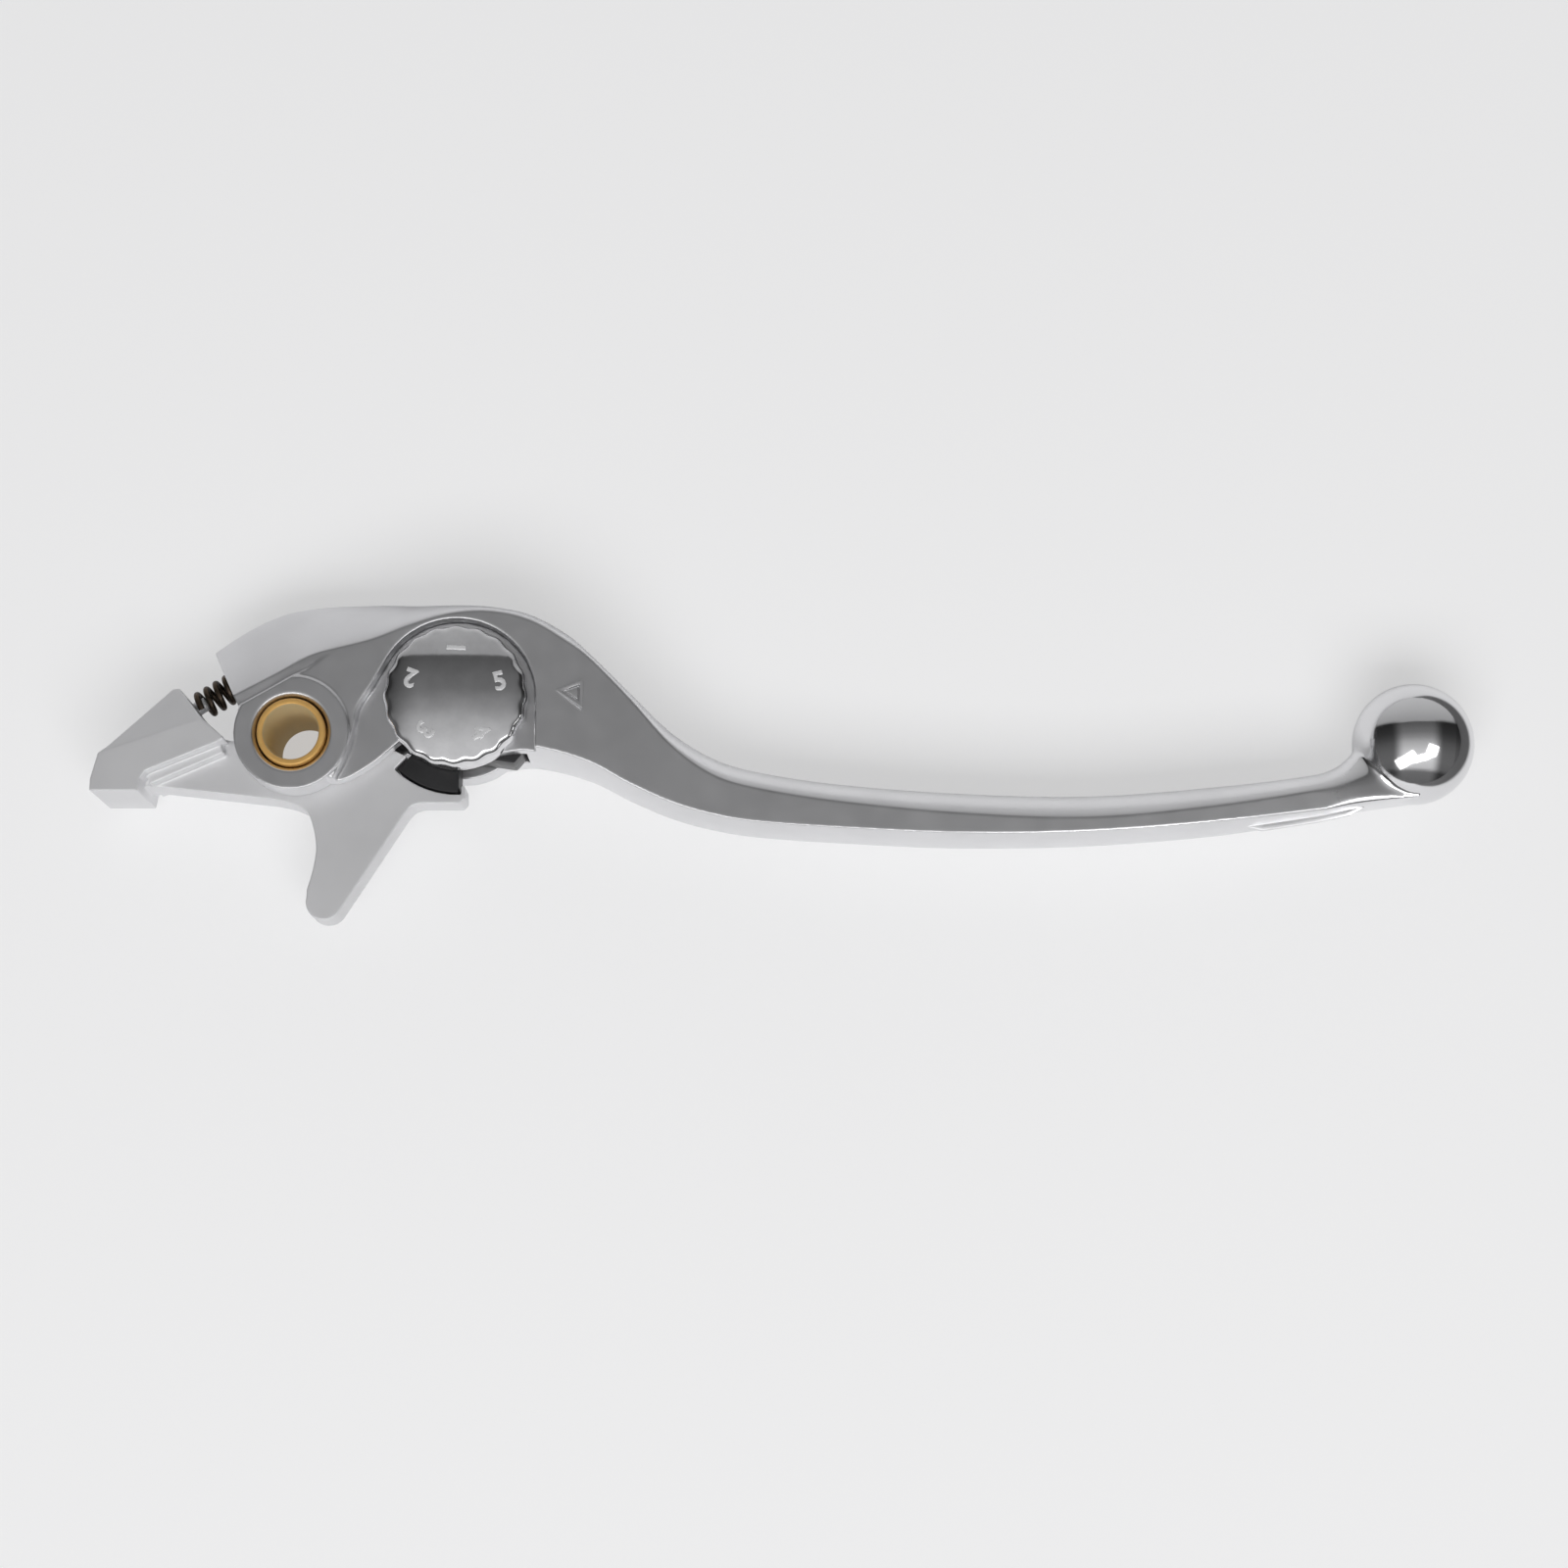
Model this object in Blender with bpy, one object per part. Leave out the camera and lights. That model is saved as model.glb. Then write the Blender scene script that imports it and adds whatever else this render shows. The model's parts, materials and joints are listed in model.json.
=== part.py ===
"""Hand lever for a motorcycle's hydraulic clutch or brake, with a reach adjuster.

A forked lever turns on a brass bush. Between its ears a knuckle turns on the same bush and pushes
the master cylinder with its finger. A dial turns a snail cam, which bears on a pad in the knuckle's
tab and so sets the angle between lever and knuckle. A spring keeps the pad against the cam.

Lengths are in metres. Shapes are drawn from the pivot axis or from the dial axis, with +X towards
the ball end, +Y away from the grip and +Z up. The origin is the middle of the footprint.
"""

import math

import bmesh
import bpy
from mathutils import Matrix, Vector

# Clearance between pieces that touch or slide, how far a cutter runs past a face, and how near points weld
RUN_GAP = 0.0003
OVERCUT = 0.002
WELD_GAP = 0.000002

# Pivot bush
BUSH_BORE_R = 0.0040
BUSH_R = 0.0050
BUSH_LENGTH = 0.0204
BUSH_PROUD = 0.0002
BUSH_CHAMFER = 0.0002
BORE_CHAMFER = 0.0005

# Lever head: bosses round the bush, ears, and the fork slot between them
BOSS_R = 0.0084
BOSS_RAISE = 0.0005
SLOT_HEIGHT = 0.0074
SLOT_ARC_TO = math.radians(140.0)
HEAD_LINE_TURN = math.radians(29.7)
END_FACE_POINT = (-BOSS_R, 0.0050)
END_FACE_TURN = math.radians(117.5)
END_FACE_DROP = 0.0017
HEAD_ROUNDING = 1.25

# Dial and its shaft
DIAL_X = 0.0238
DIAL_Y = 0.0054
DIAL_R = 0.0101
DIAL_HEIGHT = 0.0055
DIAL_CROWN = 0.0008
SCALLOPS = 20
SCALLOP_DEPTH = 0.0004
POINTS_PER_SCALLOP = 4
RECESS_DEPTH = 0.0030
RECESS_RIM = 0.0015
RECESS_ARC_TO = math.radians(152.0)
SHAFT_R = 0.0035
SHAFT_FLAT = 0.0026
SHAFT_END_R = 0.0023

# Foot of the ears, round below the dial, and its dip between boss and dial
EAR_REACH_R = 0.0100
EAR_ARC_FROM = math.radians(-144.0)
EAR_ARC_TO = math.radians(-38.0)
EAR_DIP = 0.0009

# Cam on the shaft: the radius falls evenly from its tip, then returns over a short ramp
CAM_TIP_R = 0.0120
CAM_TIP_TURN = math.radians(-47.0)
CAM_RAMP = math.radians(14.0)
CAM_SLOT_GAP = 0.0005

# Knuckle: hub, pad seat and pad, push finger, arm, and its turn from the lowest to the highest cam
KNUCKLE_SWING = math.radians(8.0)
HUB_R = 0.0084
HUB_GAP = 0.0004
HUB_FROM = math.radians(18.0)
HUB_TO = math.radians(182.0)
PAD_THICKNESS = 0.0012
SEAT_FROM = math.radians(-134.0)
SEAT_TO = math.radians(-88.0)
SEAT_SHOULDER = 0.0026
TAB_ROOT = (0.0120, -0.0003)
TAB_THICKNESS = 0.0013
TAB_CORNER = 0.0007
LIP_THICKNESS = 0.0006
LIP_HEIGHT = 0.0013
CROTCH_DROP = 0.0022
CROTCH_RUN = 0.0028
FINGER_TIP = (0.0042, -0.0241)
FINGER_TIP_R = 0.0024
FINGER_TIP_FROM = math.radians(-195.0)
FINGER_EDGE_TURN = math.radians(57.4)
ARM_HALF_HEIGHT = 0.0080
ARM_SLOPE = 0.45
ARM_GAP = 0.0016

# Spring between arm and head
SPRING_R = 0.0023
SPRING_WIRE = 0.00075
SPRING_PITCH = 0.0015
SPRING_UP_FACE = 0.0040
SPRING_TURN = math.radians(212.0)
SPRING_POCKET = 0.0030
PEG_LENGTH = 0.0018
POINTS_PER_CURL = 9

# Shaft's washers and clip
WAVE_THICKNESS = 0.00025
WAVE_HEIGHT = 0.00035
WAVE_INNER_R = 0.0052
WAVE_OUTER_R = 0.0078
WAVES = 4
WASHER_THICKNESS = 0.0005
WASHER_R = 0.0044
CLIP_THICKNESS = 0.0006
CLIP_R = 0.0042
CLIP_BITE = 0.0006
CLIP_MOUTH = math.radians(80.0)
CLIP_RECESS = 0.0029

# Blade and ball end
BALL_X = 0.1652
BALL_Y = 0.0002
BALL_R = 0.0090
BLADE_HALF_HEIGHT = 0.0070
BLADE_ROUNDING = 2.0
BLADE_RISE = 0.0210
SHOULDER_LENGTH = 0.0076
RIDER_BULGE = 0.0009
NECK_TUCK = 0.62

# Heights that follow from the sizes above
MID_Z = BUSH_LENGTH / 2
BOSS_HALF = MID_Z - BUSH_PROUD
EAR_HALF = BOSS_HALF - BOSS_RAISE
SLOT_HALF = SLOT_HEIGHT / 2
PLATE_HALF = SLOT_HALF - RUN_GAP
FLOOR_Z = MID_Z + EAR_HALF - RECESS_DEPTH
DIAL_Z = FLOOR_Z + RUN_GAP
CLIP_FLOOR_Z = MID_Z - EAR_HALF + CLIP_RECESS

# Places and radii that follow from the sizes above
CAM_SLOT_R = CAM_TIP_R + CAM_SLOT_GAP
RECESS_R = DIAL_R + RECESS_RIM
SEAT_R = CAM_TIP_R + RUN_GAP + PAD_THICKNESS
SLOT_WALL_OFFSET = HUB_R + HUB_GAP
BLADE_X = DIAL_X + RECESS_R + SHOULDER_LENGTH

# Faces round a large and a small turned shape, and sections in each stretch of the lever
ROUND_SIDES = 48
SMALL_SIDES = 32
CAM_STEPS = 72
SECTION_COUNTS = (12, 10, 12, 10, 8)

# Head outline from the pivot axis, left of the dial: x, finger crease y, finger side y
HEAD_ROWS = (
    (-0.0150, 0.0014, 0.0124),
    (-0.0084, 0.0052, 0.0170),
    (-0.0027, 0.0084, 0.0197),
    (0.0029, 0.0116, 0.0207),
)

# Head outline round the dial, in recess radii from its axis: x, finger crease y, finger side y
DIAL_ROWS = (
    (-1.06, 0.74, 1.35),
    (-0.57, 0.93, 1.34),
    (-0.08, 1.07, 1.33),
    (0.41, 1.10, 1.28),
    (0.91, 0.99, 1.17),
    (1.38, 0.72, 0.92),
)

# Blade outline: rider crease y, finger crease y and finger side y, at shares of the way to the ball
BLADE_SHARES = (0.00, 0.05, 0.10, 0.15, 0.20, 0.30, 0.45, 0.60, 0.75, 0.88)
BLADE_ROWS = (
    (-0.0041, 0.0122, 0.0136),
    (-0.0072, 0.0054, 0.0073),
    (-0.0098, -0.0014, 0.0016),
    (-0.0115, -0.0057, -0.0021),
    (-0.0125, -0.0076, -0.0040),
    (-0.0134, -0.0096, -0.0059),
    (-0.0142, -0.0114, -0.0073),
    (-0.0139, -0.0120, -0.0077),
    (-0.0125, -0.0103, -0.0064),
    (-0.0105, -0.0076, -0.0044),
)

# Neck at the ball, in ball radii from its middle, and the stretch where the blade's height tucks in
NECK_CREASE = ((-1.00, -0.72), (0.00, -0.55))
NECK_SIDE = ((-1.25, -0.36), (-0.95, -0.08), (-0.65, 0.22))
NECK_RIDER = ((-1.00, -1.07), (0.00, -0.94))
NECK_SPAN = (-1.9, 0.3)

# Rider side of the ears from the pivot axis, from the head's end past the boss
EAR_FOOT = (
    (-0.0150, 0.0008),
    (-BOSS_R - 0.0001, 0.0038),
    (-BOSS_R + 0.0024, 0.0000),
    (0.0020, -0.0050),
    (0.0061, -0.0067),
)

# Edge between the full ear and the dial's recess, from the pivot axis
RECESS_EDGE = (
    (0.0116, 0.0073),
    (0.0095, 0.0038),
    (0.0089, 0.0004),
    (0.0079, -0.0032),
    (0.0060, -0.0070),
)

# Left edge of the push finger, from the pivot axis
FINGER_EDGE = (
    (-0.0032, -0.0089),
    (0.0000, -0.0097),
    (0.0020, -0.0112),
    (0.0031, -0.0155),
    (0.0027, -0.0193),
    (0.0019, -0.0222),
)

# Low edge of the knuckle's plate under the arm
ARM_WEB = ((-0.0125, 0.0004), (-0.0235, -0.0045), (-0.0235, -0.0070), (-0.0200, -0.0070))

# Arm of the knuckle: outline of its flat top, and of the facet that falls away from it
ARM_FLAT = (
    (-BOSS_R - ARM_GAP, -0.0005),
    (-0.0134, 0.0025),
    (-0.0284, -0.0027),
    (-0.0294, -0.0064),
    (-0.0295, -0.0083),
    (-0.0225, -0.0083),
    (-0.0222, -0.0065),
    (-0.0214, -0.0054),
    (-0.0110, -0.0011),
)
ARM_FACET = (
    (-0.0134, 0.0025),
    (-0.0166, 0.0070),
    (-0.0178, 0.0069),
    (-0.0270, -0.0016),
    (-0.0284, -0.0027),
)

# Footprint, which is centred on the origin
REACH_LEFT = min(x for x, y in ARM_FLAT)
REACH_RIGHT = BALL_X + BALL_R
REACH_DOWN = FINGER_TIP[1] - FINGER_TIP_R
REACH_UP = DIAL_Y + RECESS_R * max(row[2] for row in DIAL_ROWS)
PIVOT = (-(REACH_LEFT + REACH_RIGHT) / 2, -(REACH_DOWN + REACH_UP) / 2)


def arc(centre, radius, start, end, steps):
    """Points on an arc, from the start angle to the end angle."""
    angles = [start + (end - start) * i / steps for i in range(steps + 1)]
    return [
        (centre[0] + radius * math.cos(a), centre[1] + radius * math.sin(a)) for a in angles
    ]


def circle(radius, sides, centre=(0.0, 0.0)):
    """Points round a full circle, without repeating the first."""
    return arc(centre, radius, 0.0, math.tau, sides)[:-1]


def flow(points, steps):
    """A smooth line through the points, with this many steps for each span."""
    ends = [points[0], *points, points[-1]]
    line = []
    for before, a, b, after in zip(ends, ends[1:], ends[2:], ends[3:]):
        for i in range(steps):
            t = i / steps
            line.append(
                tuple(
                    q + t * ((r - p) + t * ((2 * p - 5 * q + 4 * r - s) + t * (3 * q - p - 3 * r + s))) / 2
                    for p, q, r, s in zip(before, a, b, after)
                )
            )
    return [*line, tuple(points[-1])]


def curve_at(points, x):
    """The height at x of a smooth curve through points whose x rises."""
    x = min(max(x, points[0][0]), points[-1][0])
    i = max(k for k in range(len(points) - 1) if points[k][0] <= x)

    def slope(k):
        low, high = max(k - 1, 0), min(k + 1, len(points) - 1)
        return (points[high][1] - points[low][1]) / (points[high][0] - points[low][0])

    (x0, y0), (x1, y1) = points[i], points[i + 1]
    span = x1 - x0
    t = (x - x0) / span
    return (
        y0 * (1 - t) ** 2 * (1 + 2 * t)
        + y1 * t * t * (3 - 2 * t)
        + slope(i) * span * t * (1 - t) ** 2
        - slope(i + 1) * span * t * t * (1 - t)
    )


def ease(x, start, end):
    """0 before start, 1 after end, and a smooth rise between them."""
    t = min(max((x - start) / (end - start), 0.0), 1.0)
    return t * t * (3 - 2 * t)


def turned_by(point, angle):
    """A point turned about the pivot axis."""
    c, s = math.cos(angle), math.sin(angle)
    return (point[0] * c - point[1] * s, point[0] * s + point[1] * c)


def place(name, bm, parent):
    """Makes an object of a mesh, facing out, under an axis."""
    bmesh.ops.recalc_face_normals(bm, faces=bm.faces)
    mesh = bpy.data.meshes.new(name)
    bm.to_mesh(mesh)
    bm.free()
    mesh.shade_smooth()
    mesh.set_sharp_from_angle(angle=math.radians(30))
    obj = bpy.data.objects.new(name, mesh)
    bpy.context.collection.objects.link(obj)
    obj.parent = parent
    return obj


def stack(name, loops, parent):
    """A solid skinned over loops that have as many points each, with both ends closed."""
    bm = bmesh.new()
    rings = [[bm.verts.new(p) for p in loop] for loop in loops]
    for low, high in zip(rings, rings[1:]):
        for i in range(len(low)):
            j = (i + 1) % len(low)
            bm.faces.new((low[i], low[j], high[j], high[i]))
    bmesh.ops.triangulate(bm, faces=bm.faces)
    bm.faces.new(rings[0])
    bm.faces.new(rings[-1])
    return place(name, bm, parent)


def prism(name, outline, low, high, parent):
    """A flat outline raised from one height to another."""
    return stack(name, [[(x, y, z) for x, y in outline] for z in (low, high)], parent)


def turned(name, profile, sides, parent):
    """A solid turned about the axis, from (radius, height) pairs, bottom to top."""
    loops = [[(x, y, z) for x, y in circle(r, sides)] for r, z in profile]
    return stack(name, loops, parent)


def ring(name, profile, sides, parent):
    """A ring turned about the axis from a closed (radius, height) profile."""
    bm = bmesh.new()
    rows = []
    for i in range(sides):
        c, s = math.cos(math.tau * i / sides), math.sin(math.tau * i / sides)
        rows.append([bm.verts.new((r * c, r * s, z)) for r, z in profile])
    for a, b in zip(rows, rows[1:] + rows[:1]):
        for i in range(len(profile)):
            j = (i + 1) % len(profile)
            bm.faces.new((a[i], b[i], b[j], a[j]))
    return place(name, bm, parent)


def round_bar(name, radius, start, end, sides, parent):
    """A round bar from one point to another."""
    start, end = Vector(start), Vector(end)
    bm = bmesh.new()
    along = (end - start).to_track_quat("Z", "Y").to_matrix().to_4x4()
    bmesh.ops.create_cone(
        bm,
        cap_ends=True,
        segments=sides,
        radius1=radius,
        radius2=radius,
        depth=(end - start).length,
        matrix=Matrix.Translation((start + end) / 2) @ along,
    )
    return place(name, bm, parent)


def combine(target, tool, operation):
    """Cuts the tool from the target, or joins the two, welds what nearly meets, and hides the tool."""
    step = target.modifiers.new(tool.name, "BOOLEAN")
    step.object = tool
    step.operation = operation
    step.solver = "EXACT"
    weld = target.modifiers.new("weld", "WELD")
    weld.merge_threshold = WELD_GAP
    tool.hide_render = True
    tool.display_type = "WIRE"


def finish(obj, colour, metallic, roughness):
    """Gives an object its own Principled material."""
    material = bpy.data.materials.new(obj.name)
    material.use_nodes = True
    shader = material.node_tree.nodes["Principled BSDF"]
    shader.inputs["Base Color"].default_value = (*colour, 1.0)
    shader.inputs["Metallic"].default_value = metallic
    shader.inputs["Roughness"].default_value = roughness
    obj.data.materials.append(material)


def axis(name, x, y, parent=None):
    """An empty on a vertical axis, for the pieces that turn about it."""
    empty = bpy.data.objects.new(name, None)
    bpy.context.collection.objects.link(empty)
    empty.location = (x, y, 0.0)
    empty.parent = parent
    return empty


def blade_x(share):
    """The place on X of a share of the way from the blade's root to the ball."""
    return BLADE_X + share * (BALL_X - BLADE_X)


def from_ball(points):
    """Points given in ball radii from the ball's middle."""
    return [(BALL_X + BALL_R * x, BALL_Y + BALL_R * y) for x, y in points]


def on_ear(angle):
    """A point on the round foot of the ears, below the dial."""
    return (DIAL_X + EAR_REACH_R * math.cos(angle), DIAL_Y + EAR_REACH_R * math.sin(angle))


def lever_curves():
    """The curves that the lever's sections follow: finger crease, finger side and rider crease."""
    rows = list(HEAD_ROWS)
    for x, crease, side in DIAL_ROWS:
        rows.append((DIAL_X + RECESS_R * x, DIAL_Y + RECESS_R * crease, DIAL_Y + RECESS_R * side))
    along = [blade_x(share) for share in BLADE_SHARES]
    rows += [(x, crease, side) for x, (_, crease, side) in zip(along, BLADE_ROWS)]
    crease = [(x, y) for x, y, _ in rows] + from_ball(NECK_CREASE)
    side = [(x, y) for x, _, y in rows] + from_ball(NECK_SIDE)
    rider = [(x, y) for x, (y, _, _) in zip(along, BLADE_ROWS)]
    return crease, side, [on_ear(EAR_ARC_TO), *rider, *from_ball(NECK_RIDER)]


def ear_foot(x):
    """The rider side of the ears: past the boss, then round below the dial."""
    corner = on_ear(EAR_ARC_FROM)
    if x > corner[0]:
        away = min(abs(x - DIAL_X), EAR_REACH_R)
        return DIAL_Y - math.sqrt(EAR_REACH_R**2 - away**2)
    last = EAR_FOOT[-1]
    between = ((last[0] + corner[0]) / 2, (last[1] + corner[1]) / 2 - EAR_DIP)
    return curve_at([*EAR_FOOT, between, corner], x)


def lever_section(x, curves):
    """One section of the lever at x: flat top and bottom, a full finger side, a slight rider side."""
    crease, side, rider = (curve_at(c, x) for c in curves)
    ears_end = curves[2][0][0]
    if x < ears_end:
        rider = ear_foot(x)
    rise = ease(x, DIAL_X + RECESS_R, BLADE_X + BLADE_RISE)
    tuck = ease(x, *(BALL_X + BALL_R * share for share in NECK_SPAN))
    half = EAR_HALF + (BLADE_HALF_HEIGHT - EAR_HALF) * rise - NECK_TUCK * BLADE_HALF_HEIGHT * tuck
    middle = MID_Z + (BALL_R - MID_Z) * rise
    bulge = RIDER_BULGE * ease(x, ears_end, BLADE_X) * (1 - tuck)
    power = HEAD_ROUNDING + (BLADE_ROUNDING - HEAD_ROUNDING) * ease(x, 0.0, DIAL_X + RECESS_R)
    points = []
    for i in range(9):
        a = math.pi / 2 - math.pi * i / 8
        out = abs(math.cos(a)) ** (2 / power)
        up = math.copysign(abs(math.sin(a)) ** (2 / power), math.sin(a))
        points.append((x, crease + (side - crease) * out, middle + half * up))
    for i in range(5):
        up = -1 + i / 2
        points.append((x, rider - bulge * (1 - up * up), middle + half * up))
    return points


def lever_stations():
    """Where the lever's sections stand: close together in the head and at the ball, wider on the blade."""
    stops = [HEAD_ROWS[0][0], on_ear(EAR_ARC_FROM)[0], on_ear(EAR_ARC_TO)[0]]
    stops += [blade_x(0.20), blade_x(0.85), BALL_X]
    stations = [stops[0]]
    for start, end, count in zip(stops, stops[1:], SECTION_COUNTS):
        stations += [start + (end - start) * i / count for i in range(1, count + 1)]
    return stations


def head_line(distance, along):
    """A point on the line of the head's front wall, at a distance from the pivot axis."""
    c, s = math.cos(HEAD_LINE_TURN), math.sin(HEAD_LINE_TURN)
    return (-distance * s + along * c, distance * c + along * s)


def spring_line():
    """The spring's middle on the head's end face, and the direction from there to the arm."""
    seat = (
        END_FACE_POINT[0] + SPRING_UP_FACE * math.cos(END_FACE_TURN),
        END_FACE_POINT[1] + SPRING_UP_FACE * math.sin(END_FACE_TURN),
    )
    return Vector((*seat, MID_Z)), Vector((math.cos(SPRING_TURN), math.sin(SPRING_TURN), 0.0))


def arm_wall_distance():
    """How far the arm's wall is from the head's end face, along the spring."""
    seat, way = spring_line()
    a, b = Vector((*ARM_FACET[0], 0.0)), Vector((*ARM_FACET[1], 0.0))
    across = Vector((-(b - a).y, (b - a).x, 0.0))
    return (a - Vector((seat.x, seat.y, 0.0))).dot(across) / way.dot(across)


def make_lever(pivot, dial):
    """The forked lever, its blade and its ball end."""
    curves = lever_curves()
    lever = stack("lever_blade", [lever_section(x, curves) for x in lever_stations()], pivot)

    boss = [(BOSS_R, MID_Z - BOSS_HALF), (BOSS_R, MID_Z + BOSS_HALF)]
    combine(lever, turned("boss", boss, ROUND_SIDES, pivot), "UNION")
    bm = bmesh.new()
    bmesh.ops.create_uvsphere(
        bm,
        u_segments=SMALL_SIDES,
        v_segments=SMALL_SIDES // 2,
        radius=BALL_R,
        matrix=Matrix.Translation((BALL_X, BALL_Y, BALL_R)),
    )
    combine(lever, place("ball", bm, pivot), "UNION")

    low = FINGER_TIP[1]
    slot = [head_line(SLOT_WALL_OFFSET, -2 * BOSS_R), (-2 * BOSS_R, low)]
    slot += [(DIAL_X + CAM_SLOT_R * math.cos(EAR_ARC_TO), low)]
    slot += arc((DIAL_X, DIAL_Y), CAM_SLOT_R, EAR_ARC_TO, SLOT_ARC_TO, 28)
    slot += [head_line(SLOT_WALL_OFFSET, BOSS_R)]
    cutter = prism("fork_slot", slot, MID_Z - SLOT_HALF, MID_Z + SLOT_HALF, pivot)
    combine(lever, cutter, "DIFFERENCE")

    recess = [(DIAL_X + RECESS_R, low)]
    recess += arc((DIAL_X, DIAL_Y), RECESS_R, 0.0, RECESS_ARC_TO, 28)
    recess += flow(RECESS_EDGE, 3)
    recess += [(RECESS_EDGE[-1][0], low)]
    top = MID_Z + BOSS_HALF + OVERCUT
    combine(lever, prism("dial_recess", recess, FLOOR_Z, top, pivot), "DIFFERENCE")

    bore = BUSH_R + RUN_GAP
    wide = bore + BORE_CHAMFER
    base = MID_Z - BOSS_HALF
    profile = [(wide, base - OVERCUT), (wide, base), (bore, base + BORE_CHAMFER)]
    profile += [(r, 2 * MID_Z - z) for r, z in reversed(profile)]
    combine(lever, turned("bush_bore", profile, ROUND_SIDES, pivot), "DIFFERENCE")

    profile = [
        (WASHER_R + 2 * RUN_GAP, -OVERCUT),
        (WASHER_R + 2 * RUN_GAP, CLIP_FLOOR_Z),
        (SHAFT_END_R + RUN_GAP, CLIP_FLOOR_Z),
        (SHAFT_END_R + RUN_GAP, MID_Z),
        (SHAFT_R + RUN_GAP, MID_Z),
        (SHAFT_R + RUN_GAP, FLOOR_Z + OVERCUT),
    ]
    combine(lever, turned("shaft_bore", profile, SMALL_SIDES, dial), "DIFFERENCE")

    c, s = math.cos(END_FACE_TURN), math.sin(END_FACE_TURN)
    tall = 2 * REACH_UP
    x, y = END_FACE_POINT
    foot = (x - END_FACE_DROP * c, y - END_FACE_DROP * s)
    clear = -BOSS_R - RUN_GAP
    beyond = [foot, (x + tall * c, y + tall * s), (x - tall, y + tall * s)]
    beyond += [(x - tall, -BOSS_R), (clear, -BOSS_R), (clear, foot[1])]
    below = MID_Z - EAR_HALF - OVERCUT
    combine(lever, prism("head_end", beyond, below, top, pivot), "DIFFERENCE")

    seat, way = spring_line()
    start, end = seat + way * OVERCUT, seat - way * SPRING_POCKET
    pocket = round_bar("spring_pocket", SPRING_R + RUN_GAP, start, end, 24, pivot)
    combine(lever, pocket, "DIFFERENCE")
    finish(lever, (0.60, 0.60, 0.61), 1.0, 0.32)


def pad_reach(turn):
    """How far the pad's face is from the dial axis in one direction, with the knuckle at rest.

    The face is an arc round the dial axis when the knuckle is pushed furthest out.
    """
    centre = turned_by((DIAL_X, DIAL_Y), KNUCKLE_SWING)
    x, y = DIAL_X - centre[0], DIAL_Y - centre[1]
    along = x * math.cos(turn) + y * math.sin(turn)
    return math.sqrt(along**2 - x * x - y * y + (CAM_TIP_R + RUN_GAP) ** 2) - along


def from_dial(radius, turn):
    """A point at a radius and an angle from the dial axis."""
    return (DIAL_X + radius * math.cos(turn), DIAL_Y + radius * math.sin(turn))


def make_knuckle(pivot):
    """The knuckle: hub, low plate, push finger and tab in one plate, and the tall arm."""
    dial = (DIAL_X, DIAL_Y)
    lip_end = SEAT_TO + LIP_THICKNESS / SEAT_R
    tab_x = from_dial(SEAT_R, lip_end)[0]
    tab_y = from_dial(SEAT_R + TAB_THICKNESS, SEAT_TO)[1]
    tip = arc(FINGER_TIP, FINGER_TIP_R, FINGER_TIP_FROM, FINGER_EDGE_TURN - math.pi / 2, 12)
    rise = tab_y - CROTCH_DROP - tip[-1][1]
    crotch = (tip[-1][0] + rise / math.tan(FINGER_EDGE_TURN), tab_y - CROTCH_DROP)
    bend = (crotch[0] + 0.45 * CROTCH_RUN, tab_y - 0.27 * CROTCH_DROP)

    plate = arc((0.0, 0.0), HUB_R, HUB_FROM, HUB_TO, 24)
    plate += ARM_WEB
    plate += flow(FINGER_EDGE, 3)
    plate += tip
    plate += flow([crotch, bend, (crotch[0] + CROTCH_RUN, tab_y)], 3)
    plate += [(tab_x - TAB_CORNER, tab_y), (tab_x, tab_y + TAB_CORNER)]
    plate += [from_dial(SEAT_R - LIP_HEIGHT, lip_end), from_dial(SEAT_R - LIP_HEIGHT, SEAT_TO)]
    plate += arc(dial, SEAT_R, SEAT_TO, SEAT_FROM, 10)
    plate += [from_dial(SEAT_R - SEAT_SHOULDER, SEAT_FROM), TAB_ROOT]
    knuckle = prism("knuckle", plate, MID_Z - PLATE_HALF, MID_Z + PLATE_HALF, pivot)
    combine(knuckle, make_arm(pivot), "UNION")

    seat, way = spring_line()
    wall = seat + way * arm_wall_distance()
    peg_r = SPRING_R - SPRING_WIRE - RUN_GAP
    peg = round_bar("spring_peg", peg_r, wall - way * PEG_LENGTH, wall + way * OVERCUT, 16, pivot)
    combine(knuckle, peg, "UNION")

    bore = BUSH_R + RUN_GAP
    hole = [(bore, 0.0), (bore, BUSH_LENGTH)]
    combine(knuckle, turned("knuckle_bore", hole, ROUND_SIDES, pivot), "DIFFERENCE")
    finish(knuckle, (0.62, 0.62, 0.63), 1.0, 0.34)

    steps = 10
    gap = RUN_GAP / (SEAT_R - SEAT_SHOULDER)
    start, end = SEAT_FROM + gap, SEAT_TO - gap
    turns = [start + (end - start) * i / steps for i in range(steps + 1)]
    outline = [from_dial(pad_reach(a), a) for a in turns]
    outline += arc(dial, SEAT_R - RUN_GAP, end, start, steps)
    pad = prism("cam_pad", outline, MID_Z - PLATE_HALF, MID_Z + PLATE_HALF, pivot)
    finish(pad, (0.015, 0.015, 0.016), 0.0, 0.45)


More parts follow.
